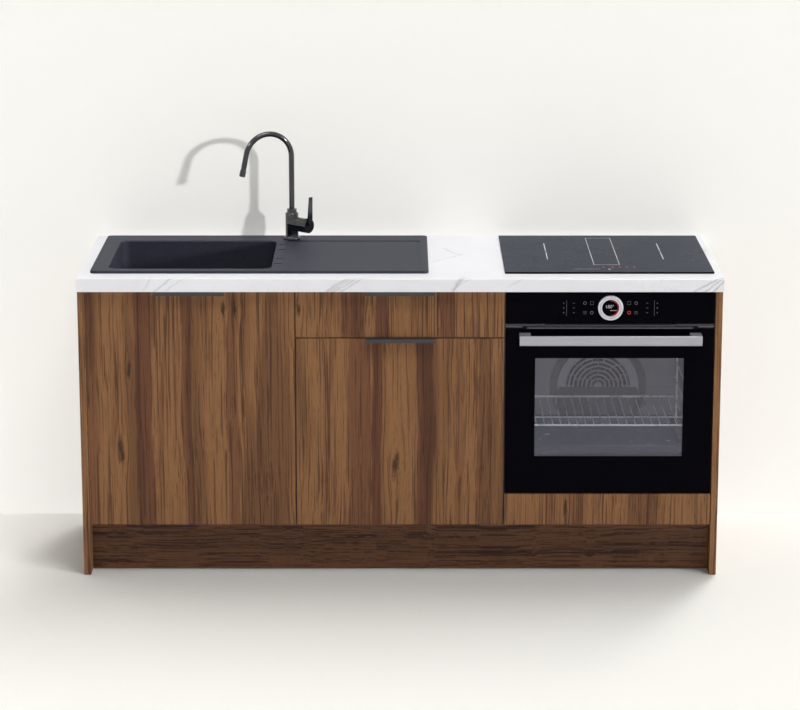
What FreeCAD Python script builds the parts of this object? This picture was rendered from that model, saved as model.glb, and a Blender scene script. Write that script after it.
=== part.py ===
"""Kitchen base cabinet run: three carcasses under one worktop, with sink, tap, hob and oven.

Millimetres. X runs along the run, with zero at its middle. Y runs from the fronts to the wall,
with zero midway between the wall and the oven handle. Z is up from the floor.
"""
import FreeCAD, Part
import math
import os
import re
import Sketcher

os.makedirs("parts", exist_ok=True)
doc = FreeCAD.newDocument("kitchen_base_cabinet")
V = FreeCAD.Vector

# Driving sizes, in millimetres, with angles in degrees
SIZES = {
    # Carcass
    "unit_width": 600,
    "carcass_depth": 560,
    "carcass_height": 700,
    "plinth_height": 150,
    "board": 18,
    "back_board": 8,
    "rail_width": 80,
    "end_panel": 20,
    "shelf_height": 270,
    "shelf_setback": 30,
    "shelf_play": 0.3,
    # Worktop
    "worktop_depth": 600,
    "worktop_thickness": 38,
    "worktop_edge_round": 3,
    "cutout_round": 12,
    "cutout_play": 2,
    # Plinth and legs
    "plinth_setback": 56,
    "plinth_board": 16,
    "plinth_top_gap": 3,
    "leg_inset": 60,
    "leg_stem": 15,
    "leg_foot": 30,
    "leg_foot_height": 8,
    "leg_socket": 24,
    "leg_socket_height": 30,
    "leg_plate": 38,
    "leg_plate_height": 4,
    "leg_plate_play": 2,
    "clip_width": 24,
    "clip_height": 20,
    "clip_level": 70,
    # Fronts
    "front_thickness": 18,
    "front_stand_off": 2,
    "front_side_gap": 2,
    "front_bottom_gap": 3,
    "front_top_gap": 3,
    "front_gap": 3.5,
    "drawer_front_height": 134.5,
    # Edge handles
    "pull_length": 200,
    "pull_reach": 20,
    "pull_lip": 10,
    "pull_metal": 1.5,
    "pull_bend": 2.5,
    # Cup hinges
    "cup_radius": 17.5,
    "cup_wall": 0.8,
    "cup_depth": 13.5,
    "cup_pin_half": 10.2,
    "cup_edge": 3,
    "cup_plate_width": 52,
    "cup_plate_height": 12,
    "cup_plate": 0.8,
    "cup_bore_play": 0.2,
    "hinge_inset": 100,
    "arm_pivot_in": 26,
    "arm_pivot_back": 16,
    "cup_pivot_in": 9.5,
    "cup_pivot_sunk": 5,
    "link_bend": 6,
    "link_half": 1.4,
    "link_eye": 3,
    "link_cup_eye": 2,
    "link_height": 6,
    "pin_radius": 1.1,
    "pin_play": 0.06,
    "arm_wall": 1.5,
    "arm_reach": 13,
    "arm_length": 70,
    "arm_play": 0.4,
    "arm_nose": 6,
    "plate_length": 50,
    "plate_width": 40,
    "plate_thickness": 2,
    # Drawer
    "drawer_board": 12,
    "drawer_bottom_board": 6,
    "drawer_height": 90,
    "drawer_length": 500,
    "drawer_bottom_lift": 10,
    "drawer_level": 722,
    "runner_height": 46,
    "runner_depth": 12.7,
    "runner_metal": 1.2,
    "runner_play": 0.4,
    "runner_lap": 3,
    "runner_length": 500,
    # Sink
    "sink_end_land": 12,
    "sink_overrun": 370,
    "sink_front_land": 70,
    "sink_setback": 34,
    "sink_rim": 8,
    "sink_corner": 14,
    "sink_lap": 12,
    "sink_skirt": 18,
    "sink_wall": 8,
    "sink_edge_round": 2,
    "bowl_left": 48,
    "bowl_side_land": 131,
    "bowl_back": 80,
    "bowl_front_land": 32,
    "bowl_depth": 200,
    "bowl_corner": 28,
    "bowl_floor_round": 18,
    "bowl_lip_round": 4,
    "drainer_gap": 30,
    "drainer_margin": 22,
    "drainer_front": 31,
    "drainer_sink": 1.5,
    "drainer_round": 10,
    "groove_width": 18,
    "groove_length": 300,
    "groove_sink": 1.2,
    "drain_radius": 45,
    "overflow_radius": 12,
    "overflow_drop": 45,
    # Waste
    "drain_flange": 57,
    "drain_flange_thickness": 3,
    "drain_step": 44,
    "drain_step_depth": 1.6,
    "drain_cup": 43,
    "drain_cup_wall": 2,
    "drain_cup_depth": 50,
    "tail_radius": 20,
    "tail_wall": 2,
    "tail_length": 90,
    "waste_play": 0.3,
    "basket_wall": 1.2,
    "basket_knob": 7,
    "basket_knob_height": 30,
    "basket_rim_drop": 1.3,
    "basket_floor": 30,
    "basket_hole": 2.5,
    "basket_hole_ring": 20,
    "trap_sleeve": 24,
    "trap_sleeve_length": 60,
    "trap_radius": 34,
    "trap_height": 95,
    "trap_cap": 38,
    "trap_cap_height": 28,
    "outlet_radius": 20,
    "outlet_wall": 2.4,
    "outlet_nut": 25,
    "outlet_nut_length": 20,
    "overflow_pipe": 10,
    "overflow_neck": 8,
    "overflow_back": 22,
    "overflow_cover": 17,
    "overflow_cover_thickness": 2,
    # Tap
    "tap_from_bowl": 45,
    "tap_setback": 90,
    "tap_flange": 24.5,
    "tap_flange_height": 10,
    "tap_radius": 19.5,
    "tap_height": 83,
    "tap_shoulder": 3,
    "tap_collar": 14.5,
    "tap_collar_height": 11,
    "tap_shank": 16.5,
    "tap_shank_length": 43,
    "tap_hole": 17.5,
    "spout_tube": 8.2,
    "spout_bore": 6.5,
    "spout_sink": 12,
    "spout_play": 0.3,
    "spout_bend": 72,
    "spout_rise": 254,
    "spout_drop": 49,
    "spout_slant_angle": 12,
    "spout_turn_angle": 22,
    "aerator_radius": 9.4,
    "aerator_length": 19,
    "hub_level": 49,
    "hub_radius": 21.5,
    "hub_turn_angle": 40,
    "hub_stub": 31,
    "hub_end": 70,
    "hub_play": 0.4,
    "hub_shaft": 5,
    "hub_shaft_play": 0.05,
    "lever_width": 17,
    "lever_tip_width": 12,
    "lever_thickness": 6,
    "lever_tip_thickness": 4.5,
    "lever_lean": 4,
    "lever_height": 89,
    "lever_slot": 6,
    "tap_nut": 26,
    "tap_nut_height": 12,
    "tap_washer_height": 3,
    # Hob
    "hob_front_land": 67,
    "hob_setback": 22,
    "hob_glass": 5,
    "hob_corner": 5,
    "hob_edge": 1,
    "hob_side_lap": 20,
    "hob_end_lap": 10.5,
    "hob_casing_depth": 42,
    "hob_casing_metal": 2,
    "hob_vent": 5,
    "hob_gland": 9,
    # Oven
    "oven_side_gap": 2.5,
    "oven_height": 595,
    "oven_lift": 98.5,
    "oven_case_side_gap": 2,
    "oven_case_height": 580,
    "oven_case_back": 30,
    "oven_case_front": 530,
    "oven_metal": 1.5,
    "panel_height": 91.5,
    "panel_gap": 9,
    "glass_thickness": 4,
    "door_rest_gap": 0.3,
    "door_frame_margin": 4,
    "door_trim": 5,
    "door_trim_step": 2.5,
    "door_trim_end": 45,
    "door_trim_slope": 12,
    "window_side": 84.75,
    "window_height": 292,
    "window_level": 110.5,
    "window_play": 6,
    "inner_glass_play": 0.3,
    "oven_pivot_up": 9.5,
    "oven_pivot_in": 7.5,
    "oven_pin": 2.5,
    "oven_pin_play": 0.06,
    "oven_pin_lap": 8,
    "bracket_metal": 6,
    "bracket_play": 0.5,
    "bracket_half": 3.2,
    "bracket_inset": 60,
    "bracket_foot": 20,
    "cavity_side": 42,
    "cavity_height": 357,
    "cavity_level": 61.5,
    "cavity_back": 160,
    "cavity_metal": 4,
    "cavity_round": 12,
    "flange_margin": 22,
    "flange_bottom": 31.5,
    "flange_metal": 4,
    "seal_width": 8,
    "seal_inset": 6,
    "oven_wall": 8,
    "fan_level": 146,
    "channel_outer": 145,
    "channel_inner": 124,
    "channel_sink": 5,
    "fan_hole": 112,
    "cover_radius": 123,
    "cover_metal": 2,
    "slot_width": 8,
    "slot_pitch": 13,
    "slot_first": 16,
    "chamber_depth": 44,
    "chamber_wall": 2,
    "fan_radius": 88,
    "fan_depth": 26,
    "fan_hub": 16,
    "fan_disc": 2,
    "fan_blade": 1.5,
    "fan_blade_width": 22,
    "fan_gap": 6,
    "fan_shaft": 4,
    "fan_shaft_play": 0.06,
    "motor_radius": 38,
    "motor_depth": 40,
    "baffle_gap": 3,
    "baffle_metal": 2,
    "baffle_level": 143,
    "baffle_notch": 16,
    "guide_wire": 2.5,
    "guide_link": 2.2,
    "guide_reach": 6,
    "guide_front": 530,
    "guide_back": 190,
    "rack_level": 122,
    "rack_side_gap": 9.5,
    "rack_front": 519,
    "rack_back": 204,
    "rack_frame_wire": 3,
    "rack_wire": 1.4,
    "rack_pitch": 23,
    "rack_cross_wire": 2,
    "tray_level": 62,
    "tray_side_gap": 6.5,
    "tray_height": 22,
    "tray_front": 522,
    "tray_back": 190,
    "tray_metal": 1.5,
    "tray_rim": 12,
    "handle_end_inset": 38,
    "handle_level": 463.5,
    "handle_height": 28,
    "handle_metal": 8,
    "handle_reach": 45,
    "handle_post": 32,
    "handle_post_height": 18,
    "dial_radius": 36,
    "dial_bore": 24.6,
    "dial_depth": 8,
    "dial_edge": 1.2,
    "dial_level": 551.5,
    "display_radius": 24.2,
    "display_depth": 7,
}

# Places worked out from the driving sizes: each row is an alias and its formula
PLACES = (
    ("run_half", "3 * unit_width / 2"),
    ("run_left", "-run_half"),
    ("drawer_left", "run_left + unit_width"),
    ("oven_left", "run_left + 2 * unit_width"),
    ("worktop_half", "run_half + end_panel"),
    ("front_back_depth", "carcass_depth + front_stand_off"),
    ("front_depth", "front_back_depth + front_thickness"),
    ("wall", "(front_depth + handle_reach) / 2"),
    ("carcass_front", "wall - carcass_depth"),
    ("front_back_y", "wall - front_back_depth"),
    ("front_y", "wall - front_depth"),
    ("carcass_top", "plinth_height + carcass_height"),
    ("worktop_top", "carcass_top + worktop_thickness"),
    ("inner_width", "unit_width - 2 * board"),
    ("front_width", "unit_width - 2 * front_side_gap"),
    ("front_bottom", "plinth_height + front_bottom_gap"),
    ("front_top", "carcass_top - front_top_gap"),
    ("drawer_front_bottom", "front_top - drawer_front_height"),
    ("lower_door_top", "drawer_front_bottom - front_gap"),
    ("plinth_front_depth", "front_depth - plinth_setback"),
    ("plinth_back_depth", "plinth_front_depth - plinth_board"),
    ("leg_front_depth", "plinth_back_depth - leg_plate - leg_plate_play"),
    ("arm_pivot_y", "carcass_front + arm_pivot_back"),
    ("cup_pivot_y", "front_back_y - cup_pivot_sunk"),
    ("cup_in", "front_side_gap + cup_edge + cup_radius"),
    ("sink_left_x", "sink_end_land - run_half"),
    ("sink_length", "unit_width + sink_overrun"),
    ("sink_depth", "worktop_depth - sink_setback - sink_front_land"),
    ("bowl_length", "unit_width - bowl_side_land"),
    ("bowl_width", "sink_depth - bowl_back - bowl_front_land"),
    ("sink_right_x", "sink_left_x + sink_length"),
    ("sink_front_depth", "sink_setback + sink_depth"),
    ("deck", "worktop_top + sink_rim"),
    ("bowl_left_x", "sink_left_x + bowl_left"),
    ("bowl_right_x", "bowl_left_x + bowl_length"),
    ("bowl_back_depth", "sink_setback + bowl_back"),
    ("bowl_front_depth", "bowl_back_depth + bowl_width"),
    ("bowl_middle_x", "(bowl_left_x + bowl_right_x) / 2"),
    ("bowl_middle_y", "wall - (bowl_back_depth + bowl_front_depth) / 2"),
    ("bowl_floor", "deck - bowl_depth"),
    ("tap_x", "bowl_right_x + tap_from_bowl"),
    ("tap_y", "wall - tap_setback"),
    ("hob_middle", "oven_left + unit_width / 2"),
    ("hob_width", "unit_width"),
    ("hob_depth", "worktop_depth - hob_setback - hob_front_land"),
    ("hob_cutout_width", "hob_width - 2 * hob_side_lap"),
    ("hob_cutout_depth", "hob_depth - 2 * hob_end_lap"),
    ("hob_front_depth", "hob_setback + hob_depth"),
    ("hob_cut_setback", "hob_setback + (hob_depth - hob_cutout_depth) / 2"),
    ("oven_middle", "oven_left + unit_width / 2"),
    ("oven_width", "unit_width - 2 * oven_side_gap"),
    ("oven_case_width", "inner_width - 2 * oven_case_side_gap"),
    ("cavity_width", "oven_case_width - 2 * cavity_side"),
    ("window_width", "oven_width - 2 * window_side"),
    ("handle_length", "oven_width - 2 * handle_end_inset"),
    ("rack_width", "cavity_width - 2 * rack_side_gap"),
    ("tray_width", "cavity_width - 2 * tray_side_gap"),
    ("oven_bottom", "plinth_height + oven_lift"),
    ("oven_top", "oven_bottom + oven_height"),
    ("panel_bottom", "oven_top - panel_height"),
    ("door_top", "panel_bottom - panel_gap"),
    ("oven_shelf_top", "oven_bottom + oven_metal"),
    ("glass_back_y", "front_y + glass_thickness"),
    ("oven_pivot_y", "front_y + oven_pivot_in"),
    ("oven_pivot_z", "oven_bottom + oven_pivot_up"),
    ("cavity_bottom", "oven_bottom + cavity_level"),
    ("cavity_back_y", "wall - cavity_back"),
    ("fan_z", "cavity_bottom + fan_level"),
    ("chamber_back_y", "cavity_back_y + oven_wall + chamber_depth"),
    ("dial_z", "oven_bottom + dial_level"),
    ("oven_handle_z", "oven_bottom + handle_level"),
    ("rack_z", "cavity_bottom + rack_level"),
    ("tray_z", "cavity_bottom + tray_level"),
)

# Shares and counts that no length sets
RACK_CROSS_SHARES = (0.0, 0.27, 1.0)
GROOVE_SHARES = (0.16, 0.34, 0.66, 0.84)
TRAP_OUTLET_SHARE = 0.72
LEVER_BEND_SHARE = 0.25
SLOT_RINGS = 7
FAN_BLADES = 16
BASKET_HOLES = 10
GUIDE_LEVELS = 4
VENT_COUNT = 8
VENT_PITCHES = 3
VENT_FIRST_PITCH = 6
VENT_LOW_SHARE = 0.25
VENT_HIGH_SHARE = 0.75

# How far apart two lengths may be and still count as the same
SAME = 1e-4
SLACK = 1e-3

prefixes = {}


def named(text):
    """Put its sheet's name before each alias in a formula."""
    return re.sub(r"[a-z][a-z_]+", lambda word: prefixes.get(word.group(), word.group()), text)


def fill_sheets():
    """Write the driving sizes and the places worked out from them into two sheets."""
    sizes = doc.addObject("Spreadsheet::Sheet", "Sizes")
    for row, (alias, value) in enumerate(SIZES.items(), start=1):
        sizes.set("A%d" % row, alias)
        sizes.set("B%d" % row, str(value))
        sizes.setAlias("B%d" % row, alias)
        prefixes[alias] = "Sizes." + alias
    places = doc.addObject("Spreadsheet::Sheet", "Places")
    for row, (alias, formula) in enumerate(PLACES, start=1):
        places.set("A%d" % row, alias)
        places.set("B%d" % row, "=" + named(formula))
        places.setAlias("B%d" % row, alias)
        prefixes[alias] = "Places." + alias
    doc.recompute()
    return doc.addObject("Spreadsheet::Sheet", "Readings")


readings = fill_sheets()
known = {}


def number(text):
    """Read a formula's value off the sheets."""
    if text not in known:
        readings.set("A1", "=" + named(text))
        readings.recompute()
        known[text] = float(readings.get("A1"))
    return known[text]


def bind(thing, prop, text):
    """Tie one property to a formula over the sheets."""
    thing.setExpression(prop, named(text))


def place(thing, x, y, z):
    """Tie a piece's place to formulas over the sheets."""
    for letter, text in (("x", x), ("y", y), ("z", z)):
        bind(thing, "Placement.Base." + letter, text)


kept = []


def keep(thing, label):
    """Name a sub-part, so that it gets a file of its own."""
    thing.Label = label
    kept.append(thing)
    return thing


def box(x, y, z, length, width, height):
    """Square block from its low corner."""
    block = doc.addObject("Part::Box", "block")
    for prop, text in (("Length", length), ("Width", width), ("Height", height)):
        bind(block, prop, text)
    place(block, x, y, z)
    return block


AXIS_TURNS = {
    "z": FreeCAD.Rotation(),
    "x": FreeCAD.Rotation(V(0, 1, 0), 90),
    "y": FreeCAD.Rotation(V(1, 0, 0), -90),
}


def rod(x, y, z, radius, length, axis="z"):
    """Round bar that runs from its low end along one axis."""
    bar = doc.addObject("Part::Cylinder", "rod")
    bind(bar, "Radius", radius)
    bind(bar, "Height", length)
    bar.Placement = FreeCAD.Placement(V(), AXIS_TURNS[axis])
    place(bar, x, y, z)
    return bar


def joined(*pieces):
    """One solid out of several that touch or cross."""
    fuse = doc.addObject("Part::MultiFuse", "joined")
    fuse.Shapes = list(pieces)
    return fuse


def cut(base, *tools):
    """A piece less the tools that cut it."""
    tool = tools[0] if len(tools) == 1 else joined(*tools)
    less = doc.addObject("Part::Cut", "cut")
    less.Base = base
    less.Tool = tool
    return less


def group(*pieces):
    """Separate solids that share one node."""
    compound = doc.addObject("Part::Compound", "group")
    compound.Links = list(pieces)
    return compound


def shaped(solid):
    """A piece whose shape is set from the sheets' values."""
    feature = doc.addObject("Part::Feature", "shaped")
    feature.Shape = solid
    return feature


def make_body(x="0", y="0", z="0"):
    body = doc.addObject("PartDesign::Body", "body")
    place(body, x, y, z)
    return body


def make_sketch(body, plane, offset="0"):
    """Sketch on one of the body's own planes, moved along the plane's normal."""
    sketch = body.newObject("Sketcher::SketchObject", "sketch")
    origin_plane = [part for part in body.Origin.OriginFeatures if part.Role == plane + "_Plane"][0]
    sketch.AttachmentSupport = [(origin_plane, "")]
    sketch.MapMode = "FlatFace"
    bind(sketch, "AttachmentOffset.Base.z", offset)
    return sketch


def pin_point(sketch, shape, end, x, y):
    """Hold one end of a line at a place given by two formulas."""
    for kind, text in (("DistanceX", x), ("DistanceY", y)):
        index = sketch.addConstraint(Sketcher.Constraint(kind, -1, 1, shape, end, number(text)))
        bind(sketch, "Constraints[%d]" % index, text)


def outline(sketch, points):
    """Closed outline of straight lines through points given as formulas."""
    first = sketch.GeometryCount
    count = len(points)
    for index in range(count):
        start = points[index]
        end = points[(index + 1) % count]
        sketch.addGeometry(Part.LineSegment(
            V(number(start[0]), number(start[1]), 0), V(number(end[0]), number(end[1]), 0)), False)
    for index in range(count):
        following = first + (index + 1) % count
        sketch.addConstraint(Sketcher.Constraint("Coincident", first + index, 2, following, 1))
        pin_point(sketch, first + index, 1, *points[index])


def rectangle(sketch, left, bottom, right, top):
    outline(sketch, ((left, bottom), (right, bottom), (right, top), (left, top)))


def rounded(sketch, left, bottom, right, top, radius):
    """Rectangle whose corners are arcs of one radius."""
    low_x, low_y, high_x, high_y = (number(text) for text in (left, bottom, right, top))
    r = number(radius)
    centres = (V(high_x - r, low_y + r, 0), V(high_x - r, high_y - r, 0),
               V(low_x + r, high_y - r, 0), V(low_x + r, low_y + r, 0))
    first = sketch.GeometryCount
    lines = ((V(low_x + r, low_y, 0), V(high_x - r, low_y, 0)),
             (V(high_x, low_y + r, 0), V(high_x, high_y - r, 0)),
             (V(high_x - r, high_y, 0), V(low_x + r, high_y, 0)),
             (V(low_x, high_y - r, 0), V(low_x, low_y + r, 0)))
    for index in range(4):
        sketch.addGeometry(Part.LineSegment(*lines[index]), False)
        turn = math.pi / 2 * (index - 1)
        circle = Part.Circle(centres[index], V(0, 0, 1), r)
        sketch.addGeometry(Part.ArcOfCircle(circle, turn, turn + math.pi / 2), False)
    for index in range(4):
        line = first + 2 * index
        arc = line + 1
        following = first + (2 * index + 2) % 8
        sketch.addConstraint(Sketcher.Constraint("Tangent", line, 2, arc, 1))
        sketch.addConstraint(Sketcher.Constraint("Tangent", arc, 2, following, 1))
        if index:
            sketch.addConstraint(Sketcher.Constraint("Equal", first + 1, arc))
    sketch.addConstraint(Sketcher.Constraint("Horizontal", first))
    held = (("DistanceY", first, bottom, low_y), ("DistanceX", first + 2, right, high_x),
            ("DistanceY", first + 4, top, high_y), ("DistanceX", first + 6, left, low_x))
    for kind, line, text, value in held:
        index = sketch.addConstraint(Sketcher.Constraint(kind, -1, 1, line, 1, value))
        bind(sketch, "Constraints[%d]" % index, text)
    index = sketch.addConstraint(Sketcher.Constraint("Radius", first + 1, r))
    bind(sketch, "Constraints[%d]" % index, radius)


def circle(sketch, x, y, radius):
    index = sketch.addGeometry(Part.Circle(V(number(x), number(y), 0), V(0, 0, 1), number(radius)), False)
    pin_point(sketch, index, 3, x, y)
    held = sketch.addConstraint(Sketcher.Constraint("Radius", index, number(radius)))
    bind(sketch, "Constraints[%d]" % held, radius)


def feature(body, kind, sketch):
    made = body.newObject("PartDesign::" + kind, kind.lower())
    made.Profile = sketch
    return made


def pad(body, sketch, length, backwards=False):
    made = feature(body, "Pad", sketch)
    bind(made, "Length", length)
    made.Reversed = backwards
    return made


def pocket(body, sketch, depth, backwards=False):
    """Cut from a sketch against its normal, or along it when backwards is set."""
    doc.recompute()
    before = body.Shape.Volume
    made = feature(body, "Pocket", sketch)
    bind(made, "Length", depth)
    made.Reversed = backwards
    doc.recompute()
    if not body.Shape.Volume < before:
        raise RuntimeError("a pocket in %s cuts nothing" % body.Label)
    return made


def turned(points, x="0", y="0", z="0"):
    """Body turned about its upright axis from an outline of radius and height."""
    body = make_body(x, y, z)
    sketch = make_sketch(body, "XZ")
    outline(sketch, points)
    made = feature(body, "Revolution", sketch)
    made.ReferenceAxis = (sketch, ["V_Axis"])
    made.Angle = 360
    return body


def soften(body, radius, wanted):
    """Round the edges of a body that the test picks."""
    doc.recompute()
    base = body.Tip
    names = ["Edge%d" % (index + 1) for index, edge in enumerate(base.Shape.Edges) if wanted(edge)]
    made = body.newObject("PartDesign::Fillet", "round")
    made.Base = (base, names)
    bind(made, "Radius", radius)
    return made


def near(first, second):
    """Whether two lengths are the same but for rounding."""
    return math.isclose(first, second, abs_tol=SAME)


def middle(edge):
    """Middle of an edge's box, in its body's frame."""
    return edge.BoundBox.Center


def flat_at(edge, height):
    """Whether an edge lies level at one height of its body."""
    return near(edge.BoundBox.ZMin, number(height)) and near(edge.BoundBox.ZMax, number(height))


def within(edge, left, right, back, front):
    """Whether an edge's box lies inside a plan rectangle, given as sizes from the wall."""
    bounds = edge.BoundBox
    return (bounds.XMin > number(left) - SLACK and bounds.XMax < number(right) + SLACK
            and bounds.YMax < -number(back) + SLACK and bounds.YMin > -number(front) - SLACK)


def worktop():
    body = make_body("0", "wall", "carcass_top")
    sketch = make_sketch(body, "XY")
    rectangle(sketch, "-worktop_half", "-worktop_depth", "worktop_half", "0")
    pad(body, sketch, "worktop_thickness")
    openings = make_sketch(body, "XY")
    rounded(openings, "sink_left_x + sink_lap", "sink_lap - sink_front_depth",
            "sink_right_x - sink_lap", "-sink_setback - sink_lap", "cutout_round")
    rounded(openings, "hob_middle - hob_cutout_width / 2", "-hob_cut_setback - hob_cutout_depth",
            "hob_middle + hob_cutout_width / 2", "-hob_cut_setback", "cutout_round")
    pocket(body, openings, "worktop_thickness", True)
    soften(body, "worktop_edge_round", lambda edge: flat_at(edge, "worktop_thickness")
           and near(edge.BoundBox.YMax, -number("worktop_depth")))
    keep(body, "worktop")


def end_panels_and_plinth():
    for label, x in (("end_panel_left", "run_left - end_panel"), ("end_panel_right", "run_half")):
        keep(box(x, "front_y", "0", "end_panel", "front_depth", "carcass_top"), label)
    keep(box("run_left", "wall - plinth_front_depth", "0", "run_half - run_left", "plinth_board",
             "plinth_height - plinth_top_gap"), "plinth")


def legs():
    """Adjustable legs, four to a unit, with the clips that hold the plinth."""
    pieces = []
    for unit in ("run_left", "drawer_left", "oven_left"):
        for x in ("%s + leg_inset" % unit, "%s + unit_width - leg_inset" % unit):
            for depth in ("leg_front_depth", "leg_inset"):
                y = "wall - %s" % depth
                pieces.append(joined(
                    rod(x, y, "0", "leg_foot", "leg_foot_height"),
                    rod(x, y, "0", "leg_stem", "plinth_height - leg_plate_height"),
                    rod(x, y, "plinth_height - leg_socket_height", "leg_socket", "leg_socket_height"),
                    rod(x, y, "plinth_height - leg_plate_height", "leg_plate", "leg_plate_height")))
            front = "wall - leg_front_depth"
            stem = rod(x, front, "clip_level - clip_height", "leg_stem", "3 * clip_height")
            pieces.append(cut(
                box("%s - clip_width / 2" % x, "wall - plinth_back_depth", "clip_level",
                    "clip_width", "plinth_back_depth - leg_front_depth", "clip_height"), stem))
    keep(group(*pieces), "adjustable_legs")


def unit_sides(unit):
    return [box("%s + %s" % (unit, shift), "carcass_front", "plinth_height",
                "board", "carcass_depth", "carcass_height") for shift in ("0", "unit_width - board")]


def unit_bottom(unit):
    return box("%s + board" % unit, "carcass_front", "plinth_height",
               "inner_width", "carcass_depth", "board")


def carcasses():
    for label, unit in (("sink_unit", "run_left"), ("drawer_unit", "drawer_left"), ("oven_unit",
                                                                                    "oven_left")):
        keep(group(*unit_sides(unit)), label + "_sides")
        keep(unit_bottom(unit), label + "_bottom")
    upright_z = "carcass_top - rail_width"
    keep(group(
        box("run_left + board", "carcass_front", upright_z, "inner_width", "board", "rail_width"),
        box("run_left + board", "wall - board", upright_z, "inner_width", "board", "rail_width"),
        box("drawer_left + board", "carcass_front", "carcass_top - board", "inner_width", "rail_width",
            "board"),
        box("drawer_left + board", "wall - back_board - rail_width", "carcass_top - board",
            "inner_width", "rail_width", "board"),
        box("oven_left + board", "wall - board", "plinth_height + board", "inner_width", "board",
            "rail_width")),
        "carcass_rails")
    keep(box("drawer_left + board", "wall - back_board", "plinth_height + board",
             "inner_width", "back_board", "carcass_height - board"), "drawer_unit_back")
    keep(box("drawer_left + board + shelf_play", "carcass_front + shelf_setback",
             "plinth_height + shelf_height", "inner_width - 2 * shelf_play",
             "carcass_depth - shelf_setback - back_board", "board"), "drawer_unit_shelf")
    keep(box("oven_left + board", "carcass_front", "oven_shelf_top - board",
             "inner_width", "carcass_depth - board", "board"), "oven_shelf")
    height = "oven_bottom - front_bottom_gap - front_bottom"
    spacer = "board - front_side_gap"
    keep(joined(
        box("oven_left + front_side_gap", "front_y", "front_bottom", "front_width", "front_thickness",
            height),
        box("oven_left + front_side_gap", "front_back_y", "front_bottom", spacer, "front_stand_off", height),
        box("oven_left + unit_width - board", "front_back_y", "front_bottom", spacer, "front_stand_off",
            height)),
        "oven_filler_front")


def hinge_levels(top):
    return ("front_bottom + hinge_inset", "%s - hinge_inset" % top)


def door(label, unit, top):
    """Door with two blind bores in its back for the hinge cups."""
    panel = box("%s + front_side_gap" % unit, "front_y", "front_bottom",
                "front_width", "front_thickness", "%s - front_bottom" % top)
    bores = [rod("%s + cup_in" % unit, "front_back_y - cup_depth - cup_bore_play", level,
                 "cup_radius + cup_bore_play", "cup_depth + 2 * cup_bore_play", "y")
             for level in hinge_levels(top)]
    keep(cut(panel, *bores), label)


def hinge_cups(label, unit, top):
    """Pressed cups with their screw plates and the pins that carry the links."""
    pieces = []
    for level in hinge_levels(top):
        x = "%s + cup_in" % unit
        low = "front_back_y - cup_depth"
        shell = joined(
            rod(x, low, level, "cup_radius", "cup_depth + cup_plate", "y"),
            box(x, "front_back_y", "%s - cup_plate_width / 2" % level,
                "cup_plate_height", "cup_plate", "cup_plate_width"))
        hollow = rod(x, "%s + cup_wall" % low, level, "cup_radius - cup_wall", "cup_depth + cup_radius", "y")
        pin = rod("%s + cup_pivot_in" % unit, "cup_pivot_y", "%s - cup_pin_half" % level,
                  "pin_radius", "2 * cup_pin_half")
        pieces.append(joined(cut(shell, hollow), pin))
    keep(group(*pieces), label)


def link_solid(unit, level):
    """Curved link from the arm's pin down into the cup and up to the cup's pin."""
    half = number("link_half")
    height = number("link_height")
    low = number(level) - height / 2
    left = number(unit)
    arm_pin = V(left + number("arm_pivot_in"), number("arm_pivot_y"), low)
    cup_pin = V(left + number("cup_pivot_in"), number("cup_pivot_y"), low)
    bend = number("link_bend")
    centre = cup_pin + V(bend, 0, 0)
    knee = centre + V(bend, 0, 0)
    up = V(0, 0, 1)
    ring = Part.makeCylinder(bend + half, height, centre, up)
    ring = ring.cut(Part.makeCylinder(bend - half, height, centre, up))
    lower = Part.makeBox(4 * bend, 2 * bend, height, centre - V(2 * bend, 2 * bend, 0))
    bow = ring.common(lower)
    run = arm_pin - knee
    side = V(-run.y, run.x, 0)
    side.normalize()
    side = side * half
    corners = [knee + side, arm_pin + side, arm_pin - side, knee - side, knee + side]
    strap = Part.Face(Part.makePolygon(corners)).extrude(V(0, 0, height))
    solid = bow.fuse([strap, Part.makeCylinder(half, height, knee, up),
                      Part.makeCylinder(number("link_eye"), height, arm_pin, up),
                      Part.makeCylinder(number("link_cup_eye"), height, cup_pin, up)])
    hole = number("pin_radius + pin_play")
    for centre in (arm_pin, cup_pin):
        solid = solid.cut(Part.makeCylinder(hole, height, centre, up))
    return solid.removeSplitter()


def hinge_links(label, unit, top):
    solids = [link_solid(unit, level) for level in hinge_levels(top)]
    keep(shaped(Part.makeCompound(solids)), label)


def hinge_arms():
    """Channel arms on the carcass sides, each with its mounting plate and pin."""
    pieces = []
    for unit, top in (("run_left", "front_top"), ("drawer_left", "lower_door_top")):
        for level in hinge_levels(top):
            wall_x = "%s + board" % unit
            outer = "link_height / 2 + arm_play + arm_wall"
            channel = cut(
                box(wall_x, "carcass_front + arm_nose", "%s - %s" % (level, outer),
                    "arm_reach", "arm_length", "2 * (%s)" % outer),
                box("%s + plate_thickness" % wall_x, "carcass_front",
                    "%s - link_height / 2 - arm_play" % level,
                    "arm_reach", "arm_length", "link_height + 2 * arm_play"))
            base = box(wall_x, "carcass_front + arm_nose + arm_length - plate_length",
                       "%s - plate_width / 2" % level, "plate_thickness", "plate_length", "plate_width")
            pin = rod("%s + arm_pivot_in" % unit, "arm_pivot_y", "%s - (%s)" % (level, outer),
                      "pin_radius", "2 * (%s)" % outer)
            pieces.append(joined(channel, base, pin))
    keep(group(*pieces), "hinge_arms")


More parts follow.
